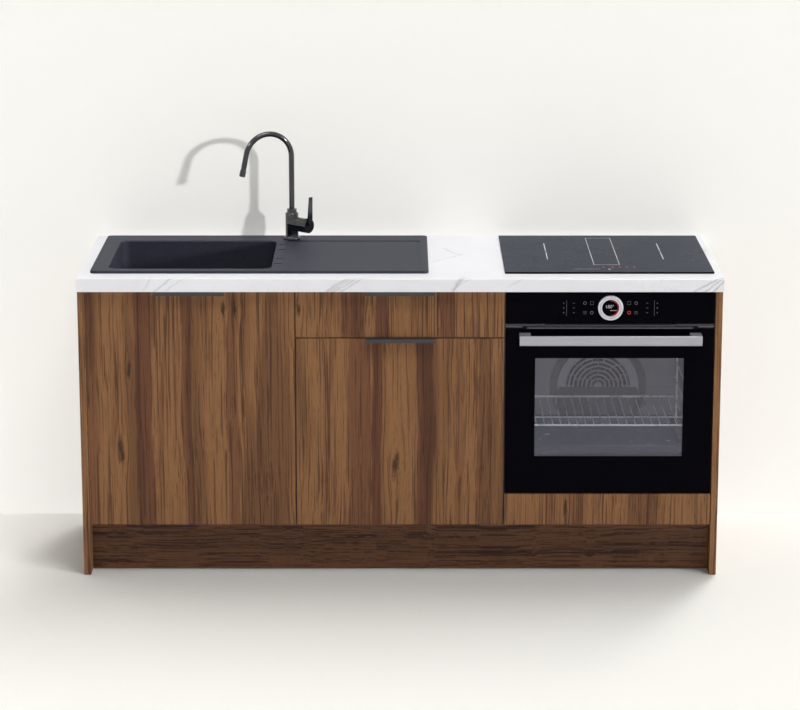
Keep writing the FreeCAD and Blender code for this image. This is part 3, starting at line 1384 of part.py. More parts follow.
def oven_door():
    """Outer glass, frame with hinge slots, inner glass, top trim and handle."""
    left = "oven_left + (unit_width - oven_width) / 2"
    keep(box(left, "front_y", "oven_bottom", "oven_width", "glass_thickness",
             "door_top - door_trim - oven_bottom"), "oven_door_glass")
    frame_depth = "front_thickness - glass_thickness"
    frame = box("%s + door_frame_margin" % left, "glass_back_y", "oven_bottom + door_frame_margin",
                "oven_width - 2 * door_frame_margin", frame_depth,
                "door_top - door_trim - oven_bottom - door_frame_margin")
    window = box("oven_middle - window_width / 2 - window_play", "front_y",
                 "oven_bottom + window_level - window_play",
                 "window_width + 2 * window_play", "2 * front_thickness", "window_height + 2 * window_play")
    cuts = [window]
    pins = []
    for side in (-1, 1):
        x = "oven_middle + %d * (oven_width / 2 - bracket_inset)" % side
        slot_half = "(bracket_metal / 2 + bracket_play)"
        cuts.append(box("%s - %s" % (x, slot_half), "front_y", "oven_bottom", "2 * %s" % slot_half,
                        "2 * front_thickness", "oven_pivot_up + bracket_half + bracket_play"))
        cuts.append(rod("%s - %s - oven_pin_lap" % (x, slot_half), "oven_pivot_y", "oven_pivot_z",
                        "oven_pin + oven_pin_play", "2 * (%s + oven_pin_lap)" % slot_half, "x"))
        eye = rod("%s - bracket_metal / 2" % x, "oven_pivot_y", "oven_pivot_z", "bracket_half",
                  "bracket_metal", "x")
        arm = box("%s - bracket_metal / 2" % x, "oven_pivot_y", "oven_pivot_z - bracket_half",
                  "bracket_metal",
                  "wall - oven_case_front + bracket_foot - oven_pivot_y", "2 * bracket_half")
        foot = box("%s - 2 * bracket_metal" % x, "wall - oven_case_front",
                   "oven_shelf_top + oven_metal", "4 * bracket_metal", "bracket_foot",
                   "oven_pivot_z + bracket_half - oven_shelf_top - oven_metal")
        pin = rod("%s - %s - oven_pin_lap + pin_play" % (x, slot_half), "oven_pivot_y", "oven_pivot_z",
                  "oven_pin",
                  "2 * (%s + oven_pin_lap - pin_play)" % slot_half, "x")
        pins.append(joined(eye, arm, foot, pin))
    keep(cut(frame, *cuts), "oven_door_frame")
    keep(group(*pins), "oven_door_brackets")
    play = "window_play - inner_glass_play"
    keep(box("oven_middle - window_width / 2 - (%s)" % play, "front_back_y - glass_thickness",
             "oven_bottom + window_level - (%s)" % play, "window_width + 2 * (%s)" % play, "glass_thickness",
             "window_height + 2 * (%s)" % play), "oven_door_inner_glass")

    trim = make_body(left, "front_back_y", "door_top - door_trim")
    sketch = make_sketch(trim, "XZ")
    step_in = "door_trim_end + door_trim_slope"
    outline(sketch, (("0", "0"), ("oven_width", "0"), ("oven_width", "door_trim"),
                     ("oven_width - door_trim_end", "door_trim"), ("oven_width - (%s)" % step_in,
                                                                   "door_trim_step"),
                     (step_in, "door_trim_step"), ("door_trim_end", "door_trim"), ("0", "door_trim")))
    pad(trim, sketch, "front_thickness")
    keep(trim, "oven_door_trim")

    bar = make_body("oven_middle - handle_length / 2", "front_y - handle_reach", "oven_handle_z")
    profile = make_sketch(bar, "YZ")
    rounded(profile, "0", "-handle_height / 2", "handle_metal", "handle_height / 2", "handle_metal / 4")
    pad(bar, profile, "handle_length")
    posts = [box("oven_middle + %d * (handle_length / 2 - handle_post / 2) - handle_post / 2" % side,
                 "front_y - handle_reach + handle_metal",
                 "oven_handle_z + handle_height / 2 - handle_post_height",
                 "handle_post", "handle_reach - handle_metal", "handle_post_height") for side in (-1, 1)]
    keep(joined(bar, *posts), "oven_door_handle")


def oven_panel():
    """Control panel with its fixed display and the ring that turns round it."""
    left = "oven_left + (unit_width - oven_width) / 2"
    keep(box(left, "front_y", "panel_bottom", "oven_width", "front_thickness + front_stand_off",
             "panel_height"),
         "oven_control_panel")
    keep(rod("oven_middle", "front_y - display_depth", "dial_z", "display_radius", "display_depth", "y"),
         "oven_display")
    ring = Part.makeCylinder(number("dial_radius"), number("dial_depth"),
                             V(number("oven_middle"), number("front_y - dial_depth - door_rest_gap"),
                               number("dial_z")),
                             V(0, 1, 0))
    ring = ring.makeFillet(number("dial_edge"), [edge for edge in ring.Edges
                           if near(edge.BoundBox.YMax, number("front_y - dial_depth - door_rest_gap"))])
    bore = Part.makeCylinder(number("dial_bore"), number("2 * dial_depth"),
                             V(number("oven_middle"), number("front_y - 3 * dial_depth / 2"),
                               number("dial_z")),
                             V(0, 1, 0))
    keep(shaped(ring.cut(bore)), "oven_dial")


def check_and_write():
    """Stop if anything failed to build, then write one file for each sub-part."""
    doc.recompute()
    for thing in doc.Objects:
        if "Invalid" in thing.State or "Error" in thing.State:
            raise RuntimeError("%s failed: %s" % (thing.Label, thing.State))
    for thing in kept:
        shape = thing.Shape
        if shape.isNull() or not shape.isValid() or not shape.Solids:
            raise RuntimeError("%s has no valid shape" % thing.Label)
    for thing in kept:
        thing.Shape.exportStep(os.path.join("parts", thing.Label + ".step"))
    print("%d sub-parts, %d solids" % (len(kept), sum(len(thing.Shape.Solids) for thing in kept)))


worktop()
end_panels_and_plinth()
legs()
carcasses()
fronts()
drawer()
sink()
waste()
tap()
hob()
oven_case()
cavity()
fan()
cavity_fittings()
oven_door()
oven_panel()
check_and_write()
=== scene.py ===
"""Kitchen base cabinet run: finishes, glass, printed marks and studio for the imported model.

Metres. The cabinet faces -Y, the wall is at +Y and the floor is at Z zero.
"""

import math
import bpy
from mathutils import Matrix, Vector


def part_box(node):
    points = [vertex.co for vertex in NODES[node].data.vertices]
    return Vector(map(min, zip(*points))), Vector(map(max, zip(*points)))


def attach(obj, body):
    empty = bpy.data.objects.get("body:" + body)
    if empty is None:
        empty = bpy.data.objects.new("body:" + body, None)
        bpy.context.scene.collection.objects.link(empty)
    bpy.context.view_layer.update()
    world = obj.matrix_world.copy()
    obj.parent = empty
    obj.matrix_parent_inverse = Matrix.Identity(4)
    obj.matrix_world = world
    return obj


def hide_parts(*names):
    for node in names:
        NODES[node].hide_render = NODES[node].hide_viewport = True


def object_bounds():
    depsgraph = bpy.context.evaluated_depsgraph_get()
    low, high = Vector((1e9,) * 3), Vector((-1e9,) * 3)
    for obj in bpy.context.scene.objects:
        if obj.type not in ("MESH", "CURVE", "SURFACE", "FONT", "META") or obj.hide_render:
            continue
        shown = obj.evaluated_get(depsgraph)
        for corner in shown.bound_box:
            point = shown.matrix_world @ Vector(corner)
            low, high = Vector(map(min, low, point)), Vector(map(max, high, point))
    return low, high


bl_info = {
    "name": "Kitchen Base Cabinet",
    "version": (1, 0, 0),
    "blender": (4, 5, 0),
    "location": "View3D > Sidebar > Kitchen",
    "description": "Dresses the kitchen base cabinet with its finishes, glass and printed marks",
    "category": "Object",
}

import bmesh
import bpy
from bpy.props import FloatProperty, FloatVectorProperty, IntProperty, PointerProperty
from mathutils import Matrix, Vector

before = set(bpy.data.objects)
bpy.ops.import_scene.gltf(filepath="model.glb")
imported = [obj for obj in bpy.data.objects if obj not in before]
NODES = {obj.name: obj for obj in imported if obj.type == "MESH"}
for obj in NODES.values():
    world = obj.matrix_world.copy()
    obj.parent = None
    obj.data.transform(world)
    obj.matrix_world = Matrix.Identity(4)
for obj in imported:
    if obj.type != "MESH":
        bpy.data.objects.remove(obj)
CAD_LOW, CAD_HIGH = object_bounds()
WORKTOP_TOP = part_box("worktop")[1].z
WORKTOP_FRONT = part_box("worktop")[0].y
TAP = ("tap_body", "tap_spout", "tap_aerator", "tap_lever_hub", "tap_lever")
FRONTWARD = (0.0, -1.0, 0.0)
UPWARD = (0.0, 0.0, 1.0)

# Depths of the finishes' relief, and widths of the borders between two tones
FINE_RELIEF = 0.0001
ORANGE_PEEL = 0.00015
DEEP_RELIEF = 0.0002
BLUR = 0.002
BOARD_BAND = (0.0003, 0.0006)
TRIM_TOP = (0.0006, 0.0002)
HORIZON_BLUR = 0.01
WELD_REACH = 0.00002
SENSOR_WIDTH = 36.0
VIEW_REACH = 60.0

# Each vein: X at the front edge, lean, half width, strength, and how far before and behind the edge it runs
VEINS = (
    (-0.655, 1.10, 0.0016, 0.85, -0.040, 0.004),
    (-0.710, 0.55, 0.0012, 0.50, -0.034, 0.000),
    (-0.621, 1.30, 0.0013, 0.50, -0.030, 0.070),
    (-0.151, 1.55, 0.0024, 0.80, -0.040, 0.000),
    (-0.138, 1.60, 0.0030, 0.60, -0.040, 0.000),
    (-0.124, 1.60, 0.0024, 0.75, -0.040, 0.002),
    (-0.110, 1.50, 0.0014, 0.90, -0.040, 0.006),
    (0.170, 0.55, 0.0022, 0.95, -0.040, 0.006),
    (0.180, 0.95, 0.0012, 0.70, -0.036, -0.004),
    (0.196, 1.60, 0.0010, 0.50, -0.022, -0.010),
    (0.347, 1.85, 0.0013, 0.50, -0.012, 0.065),
    (0.560, 2.60, 0.0014, 0.60, 0.018, 0.050),
    (0.899, 1.70, 0.0018, 0.85, -0.040, 0.004),
    (0.911, 1.20, 0.0014, 0.80, -0.040, 0.008),
    (0.925, 0.90, 0.0014, 0.80, -0.040, 0.030),
    (-0.100, 0.87, 0.0016, 0.70, 0.225, 0.312),
    (0.345, -0.52, 0.0014, 0.65, 0.326, 0.400),
    (0.905, 0.00, 0.0030, 0.55, 0.330, 0.400),
)
VEIN_START_BLUR = 0.012
VEIN_END_BLUR = 0.025

# Each board: where its grain is taken from, its knots as X, Z and size, its bands as X, half width and depth
FRONTS = (
    ("sink_unit_door", (0.31, 0.0, 0.4),
     ((-0.505, 0.80, 0.007), (-0.472, 0.797, 0.007), (-0.778, 0.62, 0.008), (-0.803, 0.38, 0.011)),
     ((-0.735, 0.026, 0.9), (-0.608, 0.014, 0.7), (-0.886, 0.018, 0.5), (-0.480, 0.016, 0.6))),
    ("drawer_front", (4.2, 0.5, 0.9), ((-0.290, 0.795, 0.007),),
     ((-0.135, 0.030, 0.8), (-0.050, 0.020, 0.9), (0.140, 0.022, 0.8))),
    ("drawer_unit_door", (2.37, 0.2, 1.3), ((-0.012, 0.33, 0.013),),
     ((-0.118, 0.034, 0.7), (-0.070, 0.016, 0.9), (0.070, 0.026, 0.95), (0.165, 0.012, 0.4))),
    ("oven_filler_front", (6.1, 0.8, 2.2), ((0.48, 0.205, 0.006),), ((0.70, 0.04, 0.6),)),
    ("end_panel_left", (8.3, 0.1, 0.2), (), ()),
    ("end_panel_right", (9.9, 0.4, 1.7), (), ()),
)
PLINTH_GRAIN = (0.7, 3.1, 5.2)

# Marks on the hob, as X and Y from the front left corner of its glass
HOB_ZONE = ((0.2610, 0.097), (0.3365, 0.471))
HOB_RULES_X = (0.1315, 0.470)
HOB_RULES_Y = ((0.173, 0.268), (0.290, 0.393))
HOB_CROSS_Y = (0.2785, 0.2795)
SLIDER_X = 0.200
SLIDER_PITCH = 0.006
SLIDER_TICKS = 12
SLIDER_TICK = 0.0022
SLIDER_Y = (0.0400, 0.0425)
PAUSE_MARK = ((0.2985, 0.0355), (0.3055, 0.0415))
LEVELS_X = (0.2871, 0.3135, 0.3350, 0.3546, 0.3764)
LEVELS_Y = 0.066
LEVEL_HEIGHT = 0.0105
POWER_LAMP_X = (0.272, 0.275)

# Marks on the oven's panel, as X and Z from the middle of its display
KEY_ROWS = (0.0130, -0.0150)
KEY_COLUMNS = (0.0530, 0.0730)
KEY_HALF = 0.0048
BAR_COLUMN = 0.1045
BAR_HALF = 0.0030
RULE_COLUMN = 0.1250
RULE_ABOVE = 0.008
RULE_BELOW = 0.009
DOT_COLUMN = 0.1335
DOT_INNER = 0.0005
DOT_OUTER = 0.0017
DIGITS_HEIGHT = 0.0135
DIAL_GROOVE = 0.0290

# The oven's door and the vents between it and the panel
WINDOW_RIM = 0.0057
WINDOW_RECESS = 0.0003
WINDOW_EDGE = 0.0002
TRIM_MIDDLE = 0.236
VENT_WIDTHS = (0.1102, 0.1118)
VENT_LIFT = 0.0012
VENT_DEPTHS = (0.004, 0.014)
# Radius and depths of the painted shade round and behind the fan cover
FAN_SHADE_RADIUS = 0.146
FAN_SHADE_DEPTHS = (0.010, 0.006)

# Screws in a hinge cup: distance from its end, half their pitch and their shift towards the door's middle
CUP_MIDDLE = 0.026
CUP_SCREW_HALF = 0.0225
CUP_SCREW_SHIFT = 0.006

# The ways the lamps shine, and how flat each far lamp lies
FROM_RIGHT = Vector((-1.89, 1.0, -0.34))
FROM_RIGHT_TO_WALL = Vector((-1.3, 1.0, -0.34))
FROM_TOP = Vector((-0.4, 0.4, -1.2))
FROM_FRONT = Vector((-0.1, 0.6, -1.2))
FROM_BEHIND = Vector((-0.43, -0.9, -1.05))
FROM_LEFT = Vector((0.9, 0.8, -0.9))
FAR_SLANTS = (0.2, 0.4, 0.6, 0.85, 1.1)


def tone(red, green, blue):
    """Linear colour from a display colour out of 255."""
    shares = (red / 255, green / 255, blue / 255)
    return tuple(s / 12.92 if s <= 0.04045 else ((s + 0.055) / 1.055) ** 2.4 for s in shares)


def colour(label, words, red, green, blue):
    """Colour setting with a display colour as its default."""
    return FloatVectorProperty(name=label, description=words, subtype="COLOR", size=3, min=0.0, max=1.0,
                               default=tone(red, green, blue))


def amount(label, words, value, **kind):
    """Number setting."""
    return FloatProperty(name=label, description=words, default=value, **kind)


def length(label, words, value):
    """Length setting in metres."""
    return amount(label, words, value, subtype="DISTANCE", unit="LENGTH", min=0.0)


def scaled(shade, share):
    """Paler or darker copy of a colour."""
    return tuple(part * share for part in shade)


class KitchenFinishes(bpy.types.PropertyGroup):
    """Colours of the cabinet's own finishes."""
    walnut_dark: colour("Walnut dark", "Darkest grain lines of the fronts", 62, 38, 28)
    walnut_band: colour("Walnut band", "Darker bands of the fronts", 101, 67, 45)
    walnut_middle: colour("Walnut middle", "Main tone of the fronts", 118, 81, 52)
    walnut_light: colour("Walnut light", "Palest bands of the fronts", 133, 94, 60)
    walnut_red: colour("Walnut red", "Tint of the broad reddish bands", 186, 166, 182)
    plinth_dark: colour("Plinth dark", "Darkest grain of the plinth", 36, 20, 15)
    plinth_band: colour("Plinth band", "Darker bands of the plinth", 52, 31, 23)
    plinth_middle: colour("Plinth middle", "Main tone of the plinth", 74, 47, 32)
    plinth_light: colour("Plinth light", "Palest bands of the plinth", 96, 64, 43)
    marble: colour("Marble", "Ground of the worktop", 233, 233, 238)
    marble_vein: colour("Marble vein", "Veins of the worktop", 84, 83, 90)
    granite: colour("Granite", "Ground of the sink", 51, 53, 64)
    granite_fleck: colour("Granite fleck", "Pale flecks of the sink", 98, 100, 112)
    black_metal: colour("Black metal", "Tap and its lever", 13, 14, 20)
    graphite: colour("Graphite", "Edge pulls on the fronts", 64, 62, 66)
    hob_glass: colour("Hob glass", "Top of the hob", 39, 46, 58)
    black_glass: colour("Black glass", "Oven panel and door border", 4, 3, 8)
    enamel: colour("Enamel", "Oven cavity", 128, 128, 136)
    tray_enamel: colour("Tray enamel", "Baking tray", 104, 113, 134)
    frame_enamel: colour("Frame enamel", "Oven door's inner frame", 74, 79, 90)
    aluminium: colour("Aluminium", "Oven handle and dial", 169, 169, 176)
    melamine: colour("Melamine", "Inside boards of the units", 226, 225, 221)
    zinc: colour("Zinc", "Hinges and runners", 176, 177, 180)
    printed_grey: colour("Printed grey", "Printed marks on the glass", 190, 194, 200)
    printed_red: colour("Printed red", "Lit marks on the glass", 214, 36, 30)


class KitchenSizes(bpy.types.PropertyGroup):
    """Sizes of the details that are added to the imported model."""
    board_edge: length("Board edge", "Roundness of the boards' edges", 0.0006)
    metal_edge: length("Metal edge", "Roundness of metal edges", 0.0009)
    print_depth: length("Print depth", "How far printed marks stand off the glass", 0.00012)
    print_line: length("Print line", "Width of a printed line", 0.0013)
    rule_width: length("Hob rule width", "Width of the zone outline on the hob", 0.0016)
    screw_radius: length("Screw head", "Radius of the screw heads", 0.0038)
    screw_depth: length("Screw dome", "Height of the screw heads", 0.0014)
    edge_steps: IntProperty(name="Edge steps", description="Segments in a rounded edge", default=3, min=1)
    stage_gap: length("Stage gap", "Clearance between the cabinet and the floor and wall", 0.001)


class KitchenStudio(bpy.types.PropertyGroup):
    """Backdrop, lamps and camera."""
    floor_shade: colour("Floor", "Colour of the floor", 224, 223, 219)
    wall_shade: colour("Wall", "Colour of the wall", 240, 239, 235)
    wall_glow: amount("Wall glow", "Share of the wall seen evenly lit", 0.35, min=0.0, max=1.0)
    floor_glow: amount("Floor glow", "Share of the floor seen evenly lit", 0.05, min=0.0, max=1.0)
    side_strength: amount("Side lamp", "Lamp from the right, on the cabinet", 1.5)
    wall_strength: amount("Wall lamp", "Lamp from the right, on the wall", 3.0)
    floor_strength: amount("Floor lamp", "Lamp from the right, on the floor", 2.0)
    top_strength: amount("Top lamp", "Lamp overhead, on everything", 1.05)
    front_strength: amount("Front lamp", "Lamp overhead and in front, on the cabinet", 0.9)
    back_strength: amount("Back lamp", "Lamp behind, on everything", 0.2)
    far_strength: amount("Far lamps", "Each lamp behind, on the floor", 0.36)
    edge_strength: amount("Edge lamp", "Lamp that draws the tap's edges", 0.9)
    world_strength: amount("Surround", "Strength of the even light", 0.1)
    background: amount("Background", "Brightness of the background past the floor", 0.9, min=0.0, max=1.0)
    stage_reach: length("Stage reach", "How far the floor and the wall run each way", 40.0)
    lens: amount("Lens", "Focal length in millimetres", 119.6)
    camera_back: length("Camera back", "How far in front of the origin the camera stands", 7.637)
    camera_up: length("Camera up", "Height of the camera above the floor", 2.558)
    camera_pitch: amount("Camera pitch", "Downward tilt", math.radians(12.37), subtype="ANGLE")
    camera_shift: amount("Camera shift", "Upright shift of the frame", -0.12)


class Finish:
    """One node material, built step by step."""

    def __init__(self, name):
        self.material = bpy.data.materials.new(name)
        self.material.use_nodes = True
        self.tree = self.material.node_tree
        self.surface = self.tree.nodes["Principled BSDF"]
        self.coords = self.tree.nodes.new("ShaderNodeTexCoord").outputs["Object"]

    def plug(self, value, socket):
        """Link an output to a socket, or set the socket to a plain value."""
        if isinstance(value, bpy.types.NodeSocket):
            self.tree.links.new(value, socket)
        else:
            socket.default_value = value

    def set(self, **values):
        """Set the shader's own sockets; words are the socket names with underscores."""
        for word, value in values.items():
            self.plug(value, self.surface.inputs[word.replace("_", " ")])
        return self

    def mapped(self, scale, shift=(0, 0, 0), turn=(0, 0, 0), source=None):
        """Coordinates that are stretched, shifted and turned."""
        node = self.tree.nodes.new("ShaderNodeMapping")
        self.plug(source or self.coords, node.inputs["Vector"])
        for name, value in (("Scale", scale), ("Location", shift), ("Rotation", turn)):
            node.inputs[name].default_value = value
        return node.outputs["Vector"]

    def noise(self, vector, scale, detail=3.0, rough=0.5, bend=0.0):
        """Soft noise from 0 to 1."""
        node = self.tree.nodes.new("ShaderNodeTexNoise")
        self.plug(vector, node.inputs["Vector"])
        for name, value in (("Scale", scale), ("Detail", detail), ("Roughness", rough), ("Distortion", bend)):
            node.inputs[name].default_value = value
        return node.outputs["Fac"]

    def cells(self, vector, scale):
        """Distance to the nearest of many scattered points."""
        node = self.tree.nodes.new("ShaderNodeTexVoronoi")
        self.plug(vector, node.inputs["Vector"])
        node.inputs["Scale"].default_value = scale
        return node.outputs["Distance"]

    def calc(self, kind, *values):
        """One step of sums, whose values are outputs or plain numbers."""
        node = self.tree.nodes.new("ShaderNodeMath")
        node.operation = kind
        for value, socket in zip(values, node.inputs):
            self.plug(value, socket)
        return node.outputs["Value"]

    def plus(self, first, second):
        return self.calc("ADD", first, second)

    def less(self, first, second):
        return self.calc("SUBTRACT", first, second)

    def times(self, first, second):
        return self.calc("MULTIPLY", first, second)

    def times_plus(self, value, factor, rest):
        return self.calc("MULTIPLY_ADD", value, factor, rest)

    def away(self, value, middle):
        """How far a value is from a middle, on either side."""
        return self.calc("ABSOLUTE", self.less(value, middle))

    def reach(self, aside, above):
        """Length of a step aside and above."""
        return self.calc("SQRT", self.plus(self.times(aside, aside), self.times(above, above)))

    def fade(self, value, low, high, start=0.0, end=1.0):
        """Smooth step from one value to another."""
        node = self.tree.nodes.new("ShaderNodeMapRange")
        node.interpolation_type = "SMOOTHSTEP"
        for name, entry in (("Value", value), ("From Min", low), ("From Max", high), ("To Min", start),
                            ("To Max", end)):
            self.plug(entry, node.inputs[name])
        return node.outputs["Result"]

    def ramp(self, value, stops):
        """Colours along a value, as pairs of place and colour."""
        node = self.tree.nodes.new("ShaderNodeValToRGB")
        self.plug(value, node.inputs["Fac"])
        band = node.color_ramp
        while len(band.elements) < len(stops):
            band.elements.new(0.5)
        for element, (place, shade) in zip(band.elements, stops):
            element.position = place
            element.color = (*shade, 1.0)
        return node.outputs["Color"]

    def mix(self, share, first, second, kind="MIX"):
        """Two colours blended by a share."""
        node = self.tree.nodes.new("ShaderNodeMix")
        node.data_type = "RGBA"
        node.blend_type = kind
        colours = [socket for socket in node.inputs if socket.type == "RGBA"]
        self.plug(share, node.inputs[0])
        for value, socket in zip((first, second), colours):
            self.plug(value if isinstance(value, bpy.types.NodeSocket) else (*value, 1.0), socket)
        return [socket for socket in node.outputs if socket.type == "RGBA"][0]

    def bump(self, height, strength, distance):
        """Relief that follows a height."""
        node = self.tree.nodes.new("ShaderNodeBump")
        node.inputs["Strength"].default_value = strength
        node.inputs["Distance"].default_value = distance
        self.plug(height, node.inputs["Height"])
        self.plug(node.outputs["Normal"], self.surface.inputs["Normal"])
        return self

    def cloudy(self, shade, share):
        """Colour with faint darker clouds."""
        return self.mix(self.fade(self.noise(self.coords, 9.0, 3.0), 0.35, 0.65), scaled(shade, share), shade)

    def peeled(self, rough, rougher, grain):
        """Material whose gloss has faint clouds and whose skin is a fine orange peel."""
        self.set(Roughness=self.fade(self.noise(self.coords, 40.0, 3.0), 0.3, 0.7, rough, rougher))
        return self.bump(self.noise(self.coords, grain, 3.0), 0.12, ORANGE_PEEL).material

    def split(self, vector):
        """X, Y and Z of a vector."""
        node = self.tree.nodes.new("ShaderNodeSeparateXYZ")
        self.plug(vector, node.inputs["Vector"])
        return node.outputs["X"], node.outputs["Y"], node.outputs["Z"]


def walnut(name, tones, along="z", shift=(0.0, 0.0, 0.0), knots=(), bands=(), tint=(1.0, 1.0, 1.0)):
    """Walnut decor: fine straight grain that bends round knots, reddish bands, rings and pores."""
    dark, band, middle, light = tones
    deep = scaled(dark, 0.5)
    skin = Finish(name)
    turn = (0.0, math.radians(90), 0.0) if along == "x" else (0.0, 0.0, 0.0)
    x, y, z = skin.split(skin.mapped((1.0, 1.0, 1.0), turn=turn))
    eye = 0.0
    for knot_x, knot_z, size in knots:
        off_x = skin.less(x, knot_x)
        reach = skin.reach(skin.times(off_x, 1 / size), skin.times(skin.less(z, knot_z), 0.26 / size))
        x = skin.less(x, skin.times(off_x, skin.fade(reach, 0.0, 3.6, 0.85, 0.0)))
        torn = skin.less(skin.noise(skin.mapped((1.0, 1.0, 0.3)), 110.0, 4.0, 0.65), 0.5)
        eye = skin.calc("MAXIMUM", eye, skin.fade(skin.times_plus(torn, 2.6, reach), 0.2, 1.2, 1.0, 0.0))
    slow = skin.less(skin.noise(skin.mapped((1.0, 1.0, 0.4), shift, turn), 3.0, 2.0), 0.5)
    quick = skin.less(skin.noise(skin.mapped((1.0, 1.0, 0.22), shift, turn), 19.0, 3.0), 0.5)
    sway = skin.plus(skin.times(slow, 0.036), skin.times(quick, 0.0075))
    across = skin.plus(x, sway)
    joined = skin.tree.nodes.new("ShaderNodeCombineXYZ")
    for value, socket in zip((across, skin.plus(y, sway), z), joined.inputs):
        skin.plug(value, socket)

    def drawn(stretch, scale, detail, rough=0.5, place=shift):
        """Noise drawn out along the grain."""
        vector = skin.mapped((1.0, 1.0, stretch), place, source=joined.outputs["Vector"])
        return skin.noise(vector, scale, detail, rough)

    rings = skin.calc("POWER", skin.calc("FRACT", skin.times(drawn(0.085, 4.2, 1.5), 30.0)), 2.0)
    share = skin.plus(skin.times(drawn(0.05, 11.0, 2.0), 0.34), skin.times(drawn(0.016, 62.0, 3.0, 0.6), 0.5))
    share = skin.times_plus(drawn(0.012, 210.0, 3.0, 0.65), 0.6, share)
    share = skin.times_plus(drawn(0.007, 420.0, 2.0, 0.6), 0.7, share)
    share = skin.times_plus(rings, -0.03, share)
    shade = skin.ramp(share, ((0.76, dark), (0.91, band), (1.05, middle), (1.22, light)))
    ragged = skin.less(skin.noise(skin.mapped((1.0, 1.0, 0.14)), 46.0, 4.0, 0.6), 0.5)
    for band_x, half, strength in bands:
        away = skin.times_plus(ragged, half * 1.3, skin.away(across, band_x))
        shade = skin.mix(skin.fade(away, half * 0.7, half * 1.15, strength, 0.0), shade, tint, "MULTIPLY")
    aside = (shift[1], shift[2], shift[0])
    streak = drawn(0.045, 12.0, 3.0, 0.55, aside)
    shade = skin.mix(skin.fade(streak, 0.52, 0.62, 0.0, 0.3), shade, band, "MULTIPLY")
    shade = skin.mix(skin.fade(streak, 0.60, 0.63, 0.0, 0.2), shade, dark)
    lines = skin.fade(drawn(0.01, 190.0, 2.0, 0.6, aside), 0.54, 0.63)
    shade = skin.mix(skin.times(lines, 0.7), shade, dark)
    pores = skin.fade(skin.noise(skin.mapped((1.0, 1.0, 0.05), turn=turn), 620.0, 2.0, 0.6), 0.56, 0.7)
    shade = skin.mix(skin.times(pores, 0.35), shade, deep)
    if knots:
        shade = skin.mix(skin.times(eye, 0.85), shade, deep)
    skin.set(Base_Color=shade, Roughness=skin.fade(pores, 0.0, 1.0, 0.5, 0.62), Specular_IOR_Level=0.22)
    return skin.bump(skin.times(pores, -1.0), 0.15, DEEP_RELIEF).material


def marble(name, ground, vein):
    """White marble decor whose veins run from the top down over the front edge."""
    skin = Finish(name)
    x, y, z = skin.split(skin.coords)
    along = skin.plus(y, skin.less(z, WORKTOP_TOP))
    wander = skin.less(skin.noise(skin.coords, 7.0, 5.0, 0.62), 0.5)
    tremble = skin.less(skin.noise(skin.coords, 38.0, 4.0, 0.6), 0.5)
    shade = skin.ramp(skin.noise(skin.coords, 3.2, 4.0, 0.55), ((0.3, scaled(ground, 0.93)), (0.62, ground)))
    patches = skin.fade(skin.noise(skin.coords, 9.0, 5.0, 0.6), 0.35, 0.65, 0.45, 1.0)
    for start_x, lean, half, strength, before, behind in VEINS:
        low, high = WORKTOP_FRONT + before, WORKTOP_FRONT + behind
        middle = skin.times_plus(skin.less(along, WORKTOP_FRONT), lean, start_x)
        middle = skin.times_plus(wander, 0.035, skin.times_plus(tremble, 0.016, middle))
        away = skin.away(x, middle)
        core = skin.fade(away, 0.0, half * 0.8, 1.0, 0.0)
        halo = skin.fade(away, 0.0, half * 6, 0.3, 0.0)
        inside = skin.times(skin.fade(along, low - VEIN_START_BLUR, low),
                            skin.fade(along, high, high + VEIN_END_BLUR, 1.0, 0.0))
        weight = skin.times(skin.calc("MAXIMUM", core, halo), inside)
        shade = skin.mix(skin.times(weight, skin.times(patches, strength)), shade, vein)
    fine = skin.away(skin.noise(skin.coords, 2.6, 7.0, 0.58, 0.6), 0.5)
    shade = skin.mix(skin.times(skin.fade(fine, 0.0, 0.005, 0.05, 0.0), patches), shade, vein)
    skin.set(Base_Color=shade, Roughness=0.34, Specular_IOR_Level=0.2)
    return skin.bump(skin.noise(skin.coords, 900.0, 2.0), 0.03, FINE_RELIEF).material


def granite(name, ground, fleck):
    """Moulded stone composite: fine pale and dark flecks under a silky skin."""
    skin = Finish(name)
    grains = skin.fade(skin.cells(skin.coords, 700.0), 0.05, 0.35, 1.0, 0.0)
    clouds = skin.noise(skin.coords, 60.0, 4.0, 0.6)
    shade = skin.mix(skin.times(grains, skin.fade(clouds, 0.42, 0.62, 0.15, 0.75)), ground, fleck)
    dark = skin.fade(skin.noise(skin.coords, 420.0, 2.0), 0.55, 0.66, 0.0, 0.55)
    skin.set(Base_Color=skin.mix(dark, shade, scaled(ground, 0.35)), Specular_IOR_Level=0.18,
             Roughness=skin.fade(grains, 0.0, 1.0, 0.58, 0.48))
    return skin.bump(skin.noise(skin.coords, 520.0, 3.0, 0.6), 0.22, DEEP_RELIEF).material


def metal(name, shade, rough, brushed="", metallic=1.0, wear=0.1, coat=0.0):
    """Metal with a light wear pattern, brushed along one axis where that is asked."""
    skin = Finish(name)
    scale = [0.02 if axis == brushed else 1.0 for axis in "xyz"]
    lines = skin.noise(skin.mapped(scale), 900.0 if brushed else 340.0, 3.0, 0.6)
    clouds = skin.noise(skin.coords, 14.0, 3.0)
    paler = tuple(min(1.0, part) for part in scaled(shade, 1 + wear))
    skin.set(Base_Color=skin.mix(skin.fade(lines, 0.35, 0.65), scaled(shade, 1 - wear), paler),
             Metallic=metallic, Coat_Weight=coat, Coat_Roughness=rough * 0.5,
             Roughness=skin.fade(clouds, 0.3, 0.7, rough * 0.85, rough * 1.15))
    return skin.bump(lines, 0.06 if brushed else 0.03, FINE_RELIEF).material


def moulded(name, shade, rough, grain=260.0):
    """Painted, moulded or foiled surface with a fine orange-peel skin."""
    skin = Finish(name)
    skin.set(Base_Color=skin.cloudy(shade, 0.92))
    return skin.peeled(rough * 0.9, rough * 1.1, grain)


